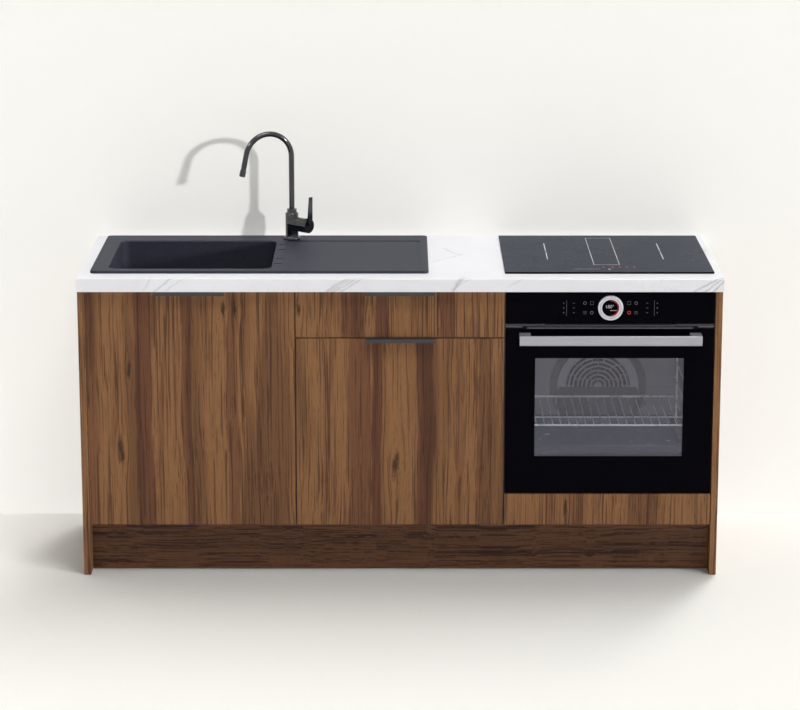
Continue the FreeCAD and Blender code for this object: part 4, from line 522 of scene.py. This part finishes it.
def dark_edge_and_gap_shade_board(name, shade, edge):
    """Melamine-faced board with a near-black band along its front edge: a dark edging that also paints the
    shade in the gaps between the fronts.
    """
    skin = Finish(name)
    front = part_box("carcass_rails")[0].y
    # Painted shade: the band along the front edge is near black
    band = skin.fade(skin.split(skin.coords)[1], front + BOARD_BAND[0], front + BOARD_BAND[1], 1.0, 0.0)
    skin.set(Base_Color=skin.mix(band, skin.cloudy(shade, 0.94), edge))
    return skin.peeled(0.38, 0.46, 480.0)


def black_glass(name, shade, rough, level, edge=None):
    """Glass printed dark on its back, with faint smears in its gloss and a dark front edge where asked."""
    skin = Finish(name)
    haze = skin.noise(skin.mapped((1.0, 1.0, 0.4)), 6.0, 4.0, 0.6)
    face = skin.mix(skin.fade(haze, 0.35, 0.7, 0.0, 0.5), shade, scaled(shade, 1.25))
    if edge is not None:
        near = skin.fade(skin.split(skin.coords)[1], edge + BLUR, edge + BLUR * 2, 1.0, 0.0)
        face = skin.mix(near, face, scaled(shade, 0.1))
    skin.set(Base_Color=face, Specular_IOR_Level=level,
             Roughness=skin.fade(haze, 0.4, 0.7, rough, rough * 1.8))
    return skin.material


def see_through(name, shade, cover):
    """Clear or tinted pane: a thin gloss over what lies behind it."""
    skin = Finish(name)
    haze = skin.fade(skin.noise(skin.coords, 5.0, 3.0, 0.6), 0.4, 0.7)
    skin.set(Base_Color=skin.mix(haze, shade, scaled(shade, 1.2)), Roughness=0.05, Alpha=cover,
             Specular_IOR_Level=0.05)
    return skin.material


def lit_and_shaded_trim(name, shade, dark):
    """Door trim: on its top, ends painted pale to undo the shade of the panel above and a dark middle that
    paints the shade of a recess; a pale line along the middle of its front.
    """
    skin = Finish(name)
    low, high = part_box("oven_door_trim")
    x, y, z = skin.split(skin.coords)
    away = skin.away(x, (low.x + high.x) / 2)
    slant = skin.times_plus(skin.less(y, low.y), -1.2, away)
    ends = skin.fade(slant, TRIM_MIDDLE, TRIM_MIDDLE + BLUR)
    top = skin.fade(z, high.z - TRIM_TOP[0], high.z - TRIM_TOP[1])
    front = skin.times(skin.fade(away, TRIM_MIDDLE, TRIM_MIDDLE + BLUR, 1.0, 0.0), skin.less(1.0, top))
    cover = skin.plus(skin.times(ends, top), front)
    brushed = skin.mapped((0.02, 1.0, 1.0))
    # Painted light and shade: the top ends are lifted 2.6 times, and the middle is painted dark as shade
    skin.set(Base_Color=skin.mix(cover, dark, skin.mix(top, shade, scaled(shade, 2.6))),
             Roughness=skin.fade(skin.noise(brushed, 700.0), 0.3, 0.7, 0.4, 0.5), Specular_IOR_Level=0.1)
    return skin.bump(skin.noise(brushed, 900.0), 0.05, FINE_RELIEF).material


def cavity_coat(name, shade):
    """Speckled cavity enamel, with painted shade: darker in a ring round and behind the fan cover."""
    skin = Finish(name)
    x, y, z = skin.split(skin.coords)
    low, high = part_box("oven_fan_cover")
    reach = skin.reach(skin.less(x, (low.x + high.x) / 2), skin.less(z, (low.z + high.z) / 2))
    start, end = (high.y - depth for depth in FAN_SHADE_DEPTHS)
    # Painted shade round and behind the fan cover
    ring = skin.times(skin.fade(reach, FAN_SHADE_RADIUS, FAN_SHADE_RADIUS + BLUR, 0.8, 0.0), skin.fade(y, start, end))
    skin.set(Base_Color=skin.mix(ring, skin.cloudy(shade, 0.92), scaled(shade, 0.3)))
    return skin.peeled(0.36, 0.44, 320.0)


def printed(name, shade, glow):
    """Ink or lit mark under the glass; a glow given to plain ink is painted light."""
    skin = Finish(name)
    speckle = skin.fade(skin.noise(skin.coords, 900.0), 0.3, 0.7)
    skin.set(Base_Color=skin.mix(speckle, scaled(shade, 0.9), shade), Roughness=0.4)
    if glow:
        skin.set(Emission_Color=(*shade, 1.0), Emission_Strength=glow)
    return skin.material


def shades(*names):
    """Colours of the named finishes."""
    finishes = bpy.context.scene.kitchen_finishes
    return tuple(tuple(getattr(finishes, name)) for name in names)


def dress(material, *names):
    """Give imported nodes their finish."""
    missing = [name for name in names if name not in NODES]
    if missing:
        raise RuntimeError("the frame has no node named " + ", ".join(missing))
    for name in names:
        slots = NODES[name].data.materials
        slots.clear()
        slots.append(material)


def ease_edges(width, *names):
    """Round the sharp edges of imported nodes, once their loose faces are joined."""
    steps = bpy.context.scene.kitchen_sizes.edge_steps
    for name in names:
        weld = NODES[name].modifiers.new("weld", "WELD")
        weld.merge_threshold = WELD_REACH
        edge = NODES[name].modifiers.new("edge", "BEVEL")
        edge.width = width
        edge.segments = steps
        edge.limit_method = "ANGLE"
        edge.angle_limit = math.radians(50)
        edge.harden_normals = False


def finish_piece(name, shape, material, body, stands_for=()):
    """Turn a bmesh into a piece that rides on a body."""
    bmesh.ops.recalc_face_normals(shape, faces=shape.faces)
    mesh = bpy.data.meshes.new(name)
    shape.to_mesh(mesh)
    shape.free()
    piece = bpy.data.objects.new(name, mesh)
    bpy.context.scene.collection.objects.link(piece)
    mesh.materials.append(material)
    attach(piece, body)
    if stands_for:
        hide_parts(*stands_for)
    return piece


def add_block(shape, low, high):
    """Thin block between two corners."""
    low, high = Vector(low), Vector(high)
    fit = Matrix.Translation((low + high) / 2) @ Matrix.Diagonal((*(high - low), 1.0))
    bmesh.ops.create_cube(shape, size=1.0, matrix=fit)


def add_mark(shape, low, high, face, depth, level=False):
    """Printed block on a face: its corners are X and Y on a level face, or X and Z on an upright one."""
    (x0, v0), (x1, v1) = low, high
    if level:
        add_block(shape, (x0, v0, face), (x1, v1, face + depth))
    else:
        add_block(shape, (x0, face - depth, v0), (x1, face, v1))


def add_frame(shape, low, high, line, face, depth, level=False):
    """Outline of a rectangle in four printed strips."""
    (x0, v0), (x1, v1) = low, high
    for start, end in (((x0, v0), (x1, v0 + line)), ((x0, v1 - line), (x1, v1)),
                       ((x0, v0 + line), (x0 + line, v1 - line)), ((x1 - line, v0 + line), (x1, v1 - line))):
        add_mark(shape, start, end, face, depth, level)


def add_ring(shape, centre, inner, outer, depth, sweep=360.0, steps=24):
    """Flat ring or arc that faces forwards; an arc turns from straight up."""
    base, up, front = Vector(centre), Vector(UPWARD), Vector(FRONTWARD)
    corners = [base + up * inner, base + up * outer,
               base + up * outer + front * depth, base + up * inner + front * depth]
    verts = [shape.verts.new(corner) for corner in corners]
    edges = [shape.edges.new((verts[index], verts[(index + 1) % 4])) for index in range(4)]
    whole = sweep >= 360.0
    bmesh.ops.spin(shape, geom=verts + edges, cent=base, axis=front, dvec=(0, 0, 0),
                   angle=-math.radians(sweep), steps=steps, use_merge=whole)
    if not whole:
        bmesh.ops.holes_fill(shape, edges=[edge for edge in shape.edges if edge.is_boundary], sides=4)


def add_words(shape, words, centre, normal, height, depth):
    """Generic digits, made a mesh and set flat on a face."""
    curve = bpy.data.curves.new("digits", "FONT")
    curve.body = words
    curve.size = height
    curve.align_x = curve.align_y = "CENTER"
    curve.extrude = depth / 2
    holder = bpy.data.objects.new("digits", curve)
    mesh = bpy.data.meshes.new_from_object(holder)
    turn = Matrix.Rotation(math.radians(90), 4, "X") if normal == FRONTWARD else Matrix.Identity(4)
    mesh.transform(Matrix.Translation(Vector(centre) + Vector(normal) * depth / 2) @ turn)
    shape.from_mesh(mesh)
    bpy.data.objects.remove(holder)
    bpy.data.meshes.remove(mesh)
    bpy.data.curves.remove(curve)


def add_screw(shape, centre, normal, radius, height):
    """Domed screw head with a cross recess."""
    axis, seat = Vector(normal), Vector(centre)
    base = Matrix.Translation(seat) @ axis.to_track_quat("Z", "Y").to_matrix().to_4x4()
    profile = ((0.0, height), (radius * 0.55, height * 0.94), (radius * 0.85, height * 0.62), (radius, 0.0))
    verts = [shape.verts.new(base @ Vector((x, 0.0, z))) for x, z in profile]
    edges = [shape.edges.new(pair) for pair in zip(verts, verts[1:])]
    bmesh.ops.spin(shape, geom=verts + edges, cent=seat, axis=axis, dvec=(0, 0, 0), angle=math.radians(360),
                   steps=16, use_merge=True)
    bmesh.ops.remove_doubles(shape, verts=shape.verts, dist=WELD_REACH / 2)
    for turn in (45, 135):
        arm = base @ Matrix.Rotation(math.radians(turn), 4, "Z") @ Matrix.Translation((0, 0, height))
        arm = arm @ Matrix.Diagonal((radius * 1.1, radius * 0.24, height * 0.16, 1.0))
        bmesh.ops.create_cube(shape, size=1.0, matrix=arm)


def linked(name, state, members):
    """Collection for light linking that takes its members in or leaves them out."""
    group = bpy.data.collections.new(name)
    for member in members:
        group.objects.link(member)
    for entry in group.collection_objects:
        entry.light_linking.link_state = state
    return group


class KITCHEN_OT_boards(bpy.types.Operator):
    """Walnut fronts, end panels and plinth, and the white inside boards"""
    bl_idname = "kitchen.boards"
    bl_label = "Boards and fronts"

    def execute(self, context):
        sizes = context.scene.kitchen_sizes
        wood = shades("walnut_dark", "walnut_band", "walnut_middle", "walnut_light")
        (tint,) = shades("walnut_red")
        for node, shift, knots, bands in FRONTS:
            dress(walnut("walnut " + node, wood, "z", shift, knots, bands, tint), node)
        wood = shades("plinth_dark", "plinth_band", "plinth_middle", "plinth_light")
        dress(walnut("walnut plinth", wood, "x", PLINTH_GRAIN), "plinth")
        ease_edges(sizes.board_edge, *(row[0] for row in FRONTS), "plinth")
        inside = [name for name in NODES if name.endswith(("_unit_sides", "_unit_bottom"))]
        inside += ["carcass_rails", "drawer_unit_back", "drawer_unit_shelf", "oven_shelf", "drawer_box"]
        # The near-black front edge of the inside boards is partly painted shade, so the gaps between the
        # fronts read dark
        dress(dark_edge_and_gap_shade_board("white melamine", *shades("melamine"), tone(14, 9, 8)), *inside)
        ease_edges(sizes.board_edge, *inside)
        return {"FINISHED"}


class KITCHEN_OT_worktop(bpy.types.Operator):
    """Marble worktop"""
    bl_idname = "kitchen.worktop"
    bl_label = "Worktop"

    def execute(self, context):
        dress(marble("marble decor", *shades("marble", "marble_vein")), "worktop")
        ease_edges(context.scene.kitchen_sizes.board_edge * 2, "worktop")
        return {"FINISHED"}


class KITCHEN_OT_sink(bpy.types.Operator):
    """Stone sink with its drain, basket and trap"""
    bl_idname = "kitchen.sink"
    bl_label = "Sink and waste"

    def execute(self, context):
        dress(granite("stone composite", *shades("granite", "granite_fleck")), "sink")
        dress(metal("polished steel", tone(200, 201, 204), 0.16), "sink_drain", "strainer_basket")
        dress(moulded("white trap plastic", tone(228, 228, 226), 0.4), "bottle_trap")
        return {"FINISHED"}


class KITCHEN_OT_tap(bpy.types.Operator):
    """Black tap with its spout, lever and fixing nut"""
    bl_idname = "kitchen.tap"
    bl_label = "Tap"

    def execute(self, context):
        dress(metal("black tap coat", *shades("black_metal"), 0.13, metallic=0.0, wear=0.12, coat=0.5), *TAP)
        ease_edges(context.scene.kitchen_sizes.metal_edge, "tap_lever", "tap_body")
        dress(metal("tap nut brass", tone(176, 156, 108), 0.35), "tap_fixing_nut")
        return {"FINISHED"}


class KITCHEN_OT_hardware(bpy.types.Operator):
    """Edge pulls, hinges, runners and legs, with their screws"""
    bl_idname = "kitchen.hardware"
    bl_label = "Pulls, hinges, runners and legs"

    def execute(self, context):
        sizes = context.scene.kitchen_sizes
        graphite, zinc = shades("graphite", "zinc")
        dress(metal("graphite pull", graphite, 0.42, "x", metallic=0.55),
              "sink_unit_door_pull", "drawer_unit_door_pull", "drawer_pull")
        dress(metal("zinc plated steel", zinc, 0.34, "y"), "hinge_arms", "sink_unit_hinge_cups",
              "sink_unit_hinge_links", "drawer_unit_hinge_cups", "drawer_unit_hinge_links",
              "drawer_runner_rails", "drawer_runner_middles", "drawer_runner_slides")
        dress(moulded("black leg plastic", tone(30, 30, 31), 0.55), "adjustable_legs")
        head = metal("screw steel", tone(150, 151, 154), 0.3)
        for node, body in (("sink_unit_hinge_cups", "sink_door"), ("drawer_unit_hinge_cups", "lower_door")):
            low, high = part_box(node)
            screw_x = (low.x + high.x) / 2 + CUP_SCREW_SHIFT
            shape = bmesh.new()
            for middle_z in (low.z + CUP_MIDDLE, high.z - CUP_MIDDLE):
                for screw_z in (middle_z - CUP_SCREW_HALF, middle_z + CUP_SCREW_HALF):
                    add_screw(shape, (screw_x, high.y, screw_z), (0, 1, 0), sizes.screw_radius * 0.8,
                              sizes.screw_depth)
            finish_piece(node + "_screws", shape, head, body)
        return {"FINISHED"}


class KITCHEN_OT_hob(bpy.types.Operator):
    """Hob glass with its printed zone outline, rules and touch row"""
    bl_idname = "kitchen.hob"
    bl_label = "Hob"

    def execute(self, context):
        sizes = context.scene.kitchen_sizes
        glass, grey, red = shades("hob_glass", "printed_grey", "printed_red")
        low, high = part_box("hob_glass")
        dress(black_glass("hob glass", glass, 0.12, 0.01, low.y), "hob_glass")
        dress(metal("hob casing steel", tone(120, 121, 124), 0.4, "x"), "hob_casing")
        line = sizes.rule_width
        depth = sizes.print_depth
        marks, lit = bmesh.new(), bmesh.new()

        def mark(shape, x0, y0, x1, y1):
            add_mark(shape, (low.x + x0, low.y + y0), (low.x + x1, low.y + y1), high.z, depth, level=True)

        (x0, y0), (x1, y1) = HOB_ZONE
        add_frame(marks, (low.x + x0, low.y + y0), (low.x + x1, low.y + y1), line, high.z, depth, level=True)
        for x in HOB_RULES_X:
            for start, end in HOB_RULES_Y:
                mark(marks, x - line * 0.8, start, x + line * 0.8, end)
            mark(marks, x - line * 3, HOB_CROSS_Y[0], x + line * 3, HOB_CROSS_Y[1])
        for step in range(SLIDER_TICKS):
            x = SLIDER_X + step * SLIDER_PITCH
            mark(marks, x, SLIDER_Y[0], x + SLIDER_TICK, SLIDER_Y[1])
        mark(marks, *PAUSE_MARK[0], *PAUSE_MARK[1])
        # The hob's grey ink glows faintly: painted light on the printed marks
        finish_piece("hob_marks", marks, printed("hob ink", grey, 0.15), "cabinet")
        for x in LEVELS_X:
            add_words(lit, "0", (low.x + x, low.y + LEVELS_Y, high.z), UPWARD, LEVEL_HEIGHT, depth * 2)
        mark(lit, POWER_LAMP_X[0], SLIDER_Y[0], POWER_LAMP_X[1], SLIDER_Y[1])
        finish_piece("hob_digits", lit, printed("hob red light", red, 0.8), "cabinet")
        return {"FINISHED"}


class KITCHEN_OT_oven_door(bpy.types.Operator):
    """Oven door glass with its clear window, trim, frame and handle"""
    bl_idname = "kitchen.oven_door"
    bl_label = "Oven door"

    def execute(self, context):
        sizes = context.scene.kitchen_sizes
        black, silver, frame_shade = shades("black_glass", "aluminium", "frame_enamel")
        low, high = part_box("oven_door_glass")
        inner_low, inner_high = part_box("oven_door_inner_glass")
        hole_low = (inner_low.x + WINDOW_RIM, inner_low.z + WINDOW_RIM)
        hole_high = (inner_high.x - WINDOW_RIM, inner_high.z - WINDOW_RIM)
        border = bmesh.new()
        loops = []
        for (x0, z0), (x1, z1) in (((low.x, low.z), (high.x, high.z)), (hole_low, hole_high)):
            corners = [border.verts.new((x, low.y, z)) for x, z in ((x0, z0), (x1, z0), (x1, z1), (x0, z1))]
            loops += [border.edges.new((corners[index], corners[(index + 1) % 4])) for index in range(4)]
        sheet = bmesh.ops.bridge_loops(border, edges=loops)["faces"]
        grown = bmesh.ops.extrude_face_region(border, geom=sheet)["geom"]
        moved = [part for part in grown if isinstance(part, bmesh.types.BMVert)]
        bmesh.ops.translate(border, verts=moved, vec=(0, high.y - low.y, 0))
        rims = [edge for edge in border.edges
                if len(edge.link_faces) == 2 and edge.calc_face_angle(0.0) > 1.0
                and all(vert.co.y < (low.y + high.y) / 2 for vert in edge.verts)]
        bmesh.ops.bevel(border, geom=rims, offset=sizes.metal_edge * 0.6, segments=2, profile=0.5,
                        affect="EDGES", material=-1)
        finish_piece("oven_door_border", border, black_glass("oven black glass", black, 0.06, 0.02),
                     "oven_door", ("oven_door_glass",))
        pane = bmesh.new()
        add_block(pane, (hole_low[0], low.y + WINDOW_RECESS, hole_low[1]),
                  (hole_high[0], high.y - WINDOW_RECESS, hole_high[1]))
        bmesh.ops.bevel(pane, geom=list(pane.edges), offset=WINDOW_EDGE, segments=1, profile=0.5,
                        affect="EDGES", material=-1)
        finish_piece("oven_door_window", pane, see_through("oven tinted pane", tone(120, 118, 127), 0.22),
                     "oven_door")
        dress(see_through("oven inner pane", tone(60, 62, 64), 0.05), "oven_door_inner_glass")
        dress(moulded("oven door frame enamel", frame_shade, 0.3), "oven_door_frame")
        dress(metal("brushed aluminium", silver, 0.36, "x", metallic=0.6, wear=0.05), "oven_door_handle")
        # The trim's pale top ends and dark middle are painted light and shade
        dress(lit_and_shaded_trim("door trim", tone(96, 96, 102), black), "oven_door_trim")
        ease_edges(sizes.metal_edge, "oven_door_handle")
        dress(metal("hinge bracket steel", tone(150, 151, 154), 0.35), "oven_door_brackets")
        return {"FINISHED"}


class KITCHEN_OT_oven_panel(bpy.types.Operator):
    """Oven control panel with its dial, display and touch marks"""
    bl_idname = "kitchen.oven_panel"
    bl_label = "Oven panel"

    def execute(self, context):
        sizes = context.scene.kitchen_sizes
        (black,) = shades("black_glass")
        dress(black_glass("panel black glass", black, 0.06, 0.02), "oven_control_panel")
        ease_edges(sizes.metal_edge * 0.5, "oven_control_panel")
        dress(black_glass("display black glass", black, 0.06, 0.02), "oven_display")
        dress(metal("turned aluminium", tone(206, 206, 216), 0.34, metallic=0.5, wear=0.05), "oven_dial")
        low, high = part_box("oven_control_panel")
        screen_low, screen_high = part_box("oven_display")
        middle_x = (screen_low.x + screen_high.x) / 2
        middle_z = (screen_low.z + screen_high.z) / 2
        radius = (screen_high.x - screen_low.x) / 2
        self.touch_marks(sizes, low.y, middle_x, middle_z, screen_low.y, radius)
        self.display_and_dial(sizes, middle_x, middle_z, screen_low.y, radius)
        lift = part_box("oven_door_trim")[1].z + VENT_LIFT
        near, far = (low.y + part for part in VENT_DEPTHS)
        bands = bmesh.new()
        for x0, x1 in ((low.x, low.x + VENT_WIDTHS[0]), (high.x - VENT_WIDTHS[1], high.x)):
            add_block(bands, (x0, near, lift), (x1, far, low.z))
        finish_piece("panel_vent_bands", bands, moulded("vent band grey", tone(52, 53, 57), 0.35),
                     "cabinet")
        return {"FINISHED"}

    def touch_marks(self, sizes, face, middle_x, middle_z, screen, radius):
        """Keys, bars, dots and rules on both sides of the dial, and the lit arc in it."""
        depth = sizes.print_depth
        line = sizes.print_line
        rows = [middle_z + row for row in KEY_ROWS]
        ink, lit = bmesh.new(), bmesh.new()
        for side in (-1, 1):
            rule = middle_x + side * RULE_COLUMN
            add_mark(ink, (rule - line / 3, rows[1] - RULE_BELOW), (rule + line / 3, rows[0] + RULE_ABOVE),
                     face, depth)
            for column, place in enumerate(KEY_COLUMNS):
                for row, z in enumerate(rows):
                    shape = lit if (side, column, row) == (1, 0, 1) else ink
                    self.key_mark(shape, middle_x + side * place, z, face, depth, line, column + row)
            bar = middle_x + side * BAR_COLUMN
            for z in (rows[0], (rows[0] + rows[1]) / 2, rows[1]):
                add_mark(ink, (bar - BAR_HALF, z - line * 0.4), (bar + BAR_HALF, z + line * 0.4), face, depth)
                add_ring(ink, (middle_x + side * DOT_COLUMN, face, z), DOT_INNER, DOT_OUTER, depth, steps=16)
        finish_piece("panel_marks", ink, printed("panel ink", tone(84, 94, 110), 0.0),
                     "cabinet")
        add_ring(lit, (middle_x, screen, middle_z), radius * 0.86, radius * 0.93, depth, 180.0, 40)
        finish_piece("panel_lit_marks", lit, printed("panel red light", tone(176, 22, 30), 0.5),
                     "cabinet")

    @staticmethod
    def display_and_dial(sizes, middle_x, middle_z, screen, radius):
        """Digits with a line under them on the display, and the groove in the dial's face."""
        depth = sizes.print_depth
        digits, groove = bmesh.new(), bmesh.new()
        add_words(digits, "180°", (middle_x - radius * 0.12, screen, middle_z + radius * 0.15), FRONTWARD,
                  DIGITS_HEIGHT, depth * 2)
        add_mark(digits, (middle_x - radius * 0.05, middle_z - radius * 0.32),
                 (middle_x + radius * 0.72, middle_z - radius * 0.26), screen, depth)
        finish_piece("display_digits", digits, printed("display white light", tone(176, 178, 184), 0.1),
                     "cabinet")
        add_ring(groove, (middle_x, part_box("oven_dial")[0].y, middle_z), DIAL_GROOVE,
                 DIAL_GROOVE + sizes.print_line * 0.6, depth, steps=64)
        finish_piece("dial_groove", groove, moulded("dial groove grey", tone(96, 96, 104), 0.5),
                     "dial")

    @staticmethod
    def key_mark(shape, x, z, face, depth, line, kind):
        """Plain symbols: a square, a ring or three bars."""
        if kind == 0:
            add_frame(shape, (x - KEY_HALF, z - KEY_HALF), (x + KEY_HALF, z + KEY_HALF), line * 0.55,
                      face, depth)
        elif kind == 1:
            add_ring(shape, (x, face, z), KEY_HALF * 0.72, KEY_HALF, depth)
        else:
            for offset in (-1, 0, 1):
                middle = z + offset * KEY_HALF * 0.75
                add_mark(shape, (x - KEY_HALF, middle - line * 0.28), (x + KEY_HALF, middle + line * 0.28),
                         face, depth)


class KITCHEN_OT_oven_inside(bpy.types.Operator):
    """Oven cavity, fan, guides, rack, tray and casing"""
    bl_idname = "kitchen.oven_inside"
    bl_label = "Oven inside"

    def execute(self, context):
        enamel, tray = shades("enamel", "tray_enamel")
        dress(cavity_coat("cavity enamel", enamel), "oven_cavity")
        dress(moulded("fan cover enamel", tone(152, 152, 160), 0.4, 320.0), "oven_fan_cover")
        dress(moulded("tray enamel", tray, 0.25, 320.0), "oven_tray")
        dress(metal("bright wire", tone(232, 232, 238), 0.3, metallic=0.25),
              "oven_side_guides", "oven_wire_rack")
        dress(metal("fan steel", tone(70, 70, 74), 0.4), "oven_fan")
        dress(metal("oven casing steel", tone(158, 159, 162), 0.4, "z"), "oven_casing")
        dress(moulded("door seal rubber", tone(26, 26, 27), 0.7), "oven_door_seal")
        return {"FINISHED"}


class KITCHEN_OT_stage(bpy.types.Operator):
    """Pale floor and wall, lamps and camera"""
    bl_idname = "kitchen.stage"
    bl_label = "Stage, lamps and camera"

    def execute(self, context):
        studio = context.scene.kitchen_studio
        gap = context.scene.kitchen_sizes.stage_gap
        reach = studio.stage_reach
        ground = CAD_LOW.z - gap
        floor_place = Matrix.Translation((0.0, 0.0, ground))
        wall_place = Matrix.Translation((0.0, CAD_HIGH.y + gap, ground + reach))
        wall_place @= Matrix.Rotation(math.radians(90), 4, "X")
        sheets = []
        for name, place, shade, glow in (("floor", floor_place, studio.floor_shade, studio.floor_glow),
                                         ("wall", wall_place, studio.wall_shade, studio.wall_glow)):
            shape = bmesh.new()
            bmesh.ops.create_grid(shape, x_segments=1, y_segments=1, size=reach, matrix=place)
            mesh = bpy.data.meshes.new(name)
            shape.to_mesh(mesh)
            shape.free()
            sheet = bpy.data.objects.new(name, mesh)
            context.scene.collection.objects.link(sheet)
            mesh.materials.append(self.paper(name + " paper", tuple(shade), glow, name == "wall"))
            sheet.visible_shadow = name == "floor"
            sheets.append(sheet)
        self.surround(context.scene, studio.world_strength, studio.background)
        floor, wall = sheets
        tap = [NODES[name] for name in TAP]
        on_floor, off_sheets = ("INCLUDE", [floor]), ("EXCLUDE", sheets)
        tap_only, tap_and_sink = ("INCLUDE", tap), ("INCLUDE", tap + [NODES["sink"]])
        # Each lamp: name, aim, strength, spread in degrees, what it lights and what throws its shadows
        lamps = []
        for step, slant in enumerate(FAR_SLANTS):
            aim = Vector((FROM_BEHIND.x * slant, FROM_BEHIND.y * slant, FROM_BEHIND.z))
            lamps.append(("far lamp %d" % (step + 1), aim, studio.far_strength, 12.0, on_floor, None))
        lamps += (
            ("side lamp", FROM_RIGHT, studio.side_strength, 5.0, off_sheets, tap_and_sink),
            ("wall lamp", FROM_RIGHT_TO_WALL, studio.wall_strength, 2.5, ("INCLUDE", [wall]), tap_only),
            ("floor lamp", FROM_RIGHT, studio.floor_strength, 5.0, on_floor, None),
            ("top lamp", FROM_TOP, studio.top_strength, 20.0, None, None),
            ("front lamp", FROM_FRONT, studio.front_strength, 20.0, off_sheets, None),
            ("back lamp", FROM_BEHIND, studio.back_strength, 30.0, None, None),
            ("edge lamp", FROM_LEFT, studio.edge_strength, 12.0, tap_only, None),
        )
        for name, aim, strength, spread, lit, blocked in lamps:
            lamp = bpy.data.lights.new(name, "SUN")
            lamp.energy = strength
            lamp.angle = math.radians(spread)
            holder = bpy.data.objects.new(name, lamp)
            holder.rotation_mode = "QUATERNION"
            holder.rotation_quaternion = aim.to_track_quat("-Z", "Y")
            context.scene.collection.objects.link(holder)
            if lit:
                holder.light_linking.receiver_collection = linked(name + " lights", *lit)
            if blocked:
                holder.light_linking.blocker_collection = linked(name + " shadows", *blocked)
        view = bpy.data.cameras.new("photo view")
        view.lens = studio.lens
        view.sensor_width = SENSOR_WIDTH
        view.sensor_fit = "HORIZONTAL"
        view.shift_y = studio.camera_shift
        view.clip_end = VIEW_REACH
        eye = bpy.data.objects.new("photo view", view)
        eye.location = (0.0, -studio.camera_back, studio.camera_up)
        eye.rotation_euler = (math.radians(90) - studio.camera_pitch, 0.0, 0.0)
        context.scene.collection.objects.link(eye)
        context.scene.camera = eye
        context.scene.view_settings.view_transform = "Standard"
        return {"FINISHED"}

    @staticmethod
    def paper(name, shade, glow, one_sided):
        """Diffuse paper that is partly seen evenly lit; it keeps the shadows and can be clear from behind."""
        skin = Finish(name)
        skin.set(Base_Color=(*shade, 1.0), Roughness=1.0, Specular_IOR_Level=0.0)
        nodes, links = skin.tree.nodes, skin.tree.links
        path = nodes.new("ShaderNodeLightPath")
        mirrored = skin.calc("MAXIMUM", path.outputs["Is Glossy Ray"], path.outputs["Is Transmission Ray"])
        seen = skin.calc("MAXIMUM", path.outputs["Is Camera Ray"], mirrored)
        even = nodes.new("ShaderNodeEmission")
        even.inputs["Color"].default_value = (*shade, 1.0)
        blend = nodes.new("ShaderNodeMixShader")
        links.new(skin.times(seen, glow), blend.inputs[0])
        links.new(skin.surface.outputs[0], blend.inputs[1])
        links.new(even.outputs[0], blend.inputs[2])
        surface = blend.outputs[0]
        if one_sided:
            behind = nodes.new("ShaderNodeMixShader")
            links.new(nodes.new("ShaderNodeNewGeometry").outputs["Backfacing"], behind.inputs[0])
            links.new(surface, behind.inputs[1])
            links.new(nodes.new("ShaderNodeBsdfTransparent").outputs[0], behind.inputs[2])
            surface = behind.outputs[0]
        links.new(surface, nodes["Material Output"].inputs["Surface"])
        return skin.material

    @staticmethod
    def surround(scene, strength, background):
        """Even light from above the horizon, with a pale background for what is seen or mirrored."""
        world = scene.world or bpy.data.worlds.new("studio")
        scene.world = world
        world.use_nodes = True
        nodes, links = world.node_tree.nodes, world.node_tree.links
        ground = nodes["Background"]
        place = nodes.new("ShaderNodeTexCoord")
        parts = nodes.new("ShaderNodeSeparateXYZ")
        sky = nodes.new("ShaderNodeMapRange")
        for socket, value in (("From Min", -HORIZON_BLUR), ("From Max", HORIZON_BLUR), ("To Max", strength)):
            sky.inputs[socket].default_value = value
        path = nodes.new("ShaderNodeLightPath")
        seen = path.outputs["Is Camera Ray"]
        for name in ("Is Glossy Ray", "Is Transmission Ray"):
            widest = nodes.new("ShaderNodeMath")
            widest.operation = "MAXIMUM"
            links.new(seen, widest.inputs[0])
            links.new(path.outputs[name], widest.inputs[1])
            seen = widest.outputs[0]
        level = nodes.new("ShaderNodeMix")
        level.inputs["B"].default_value = background
        links.new(place.outputs["Generated"], parts.inputs[0])
        links.new(parts.outputs["Z"], sky.inputs["Value"])
        links.new(seen, level.inputs["Factor"])
        links.new(sky.outputs[0], level.inputs["A"])
        links.new(level.outputs["Result"], ground.inputs["Strength"])
        ground.inputs["Color"].default_value = (1.0, 1.0, 1.0, 1.0)


STEPS = (KITCHEN_OT_boards, KITCHEN_OT_worktop, KITCHEN_OT_sink, KITCHEN_OT_tap, KITCHEN_OT_hardware,
         KITCHEN_OT_hob, KITCHEN_OT_oven_door, KITCHEN_OT_oven_panel, KITCHEN_OT_oven_inside,
         KITCHEN_OT_stage)


class KITCHEN_PT_panel(bpy.types.Panel):
    """Buttons for each group of pieces, and their settings"""
    bl_idname = "KITCHEN_PT_panel"
    bl_label = "Kitchen base cabinet"
    bl_space_type = "VIEW_3D"
    bl_region_type = "UI"
    bl_category = "Kitchen"

    def draw(self, context):
        for step in STEPS:
            self.layout.operator(step.bl_idname)
        scene = context.scene
        for group in (scene.kitchen_finishes, scene.kitchen_sizes, scene.kitchen_studio):
            for name in group.bl_rna.properties.keys():
                if name not in ("rna_type", "name"):
                    self.layout.prop(group, name)


CLASSES = (KitchenFinishes, KitchenSizes, KitchenStudio, *STEPS, KITCHEN_PT_panel)


def register():
    for entry in CLASSES:
        bpy.utils.register_class(entry)
    bpy.types.Scene.kitchen_finishes = PointerProperty(type=KitchenFinishes)
    bpy.types.Scene.kitchen_sizes = PointerProperty(type=KitchenSizes)
    bpy.types.Scene.kitchen_studio = PointerProperty(type=KitchenStudio)


def unregister():
    del bpy.types.Scene.kitchen_studio
    del bpy.types.Scene.kitchen_sizes
    del bpy.types.Scene.kitchen_finishes
    for entry in reversed(CLASSES):
        bpy.utils.unregister_class(entry)


def main():
    """Run every step in order."""
    register()
    for step in STEPS:
        group, name = step.bl_idname.split(".")
        getattr(getattr(bpy.ops, group), name)()


if __name__ == "__main__":
    main()
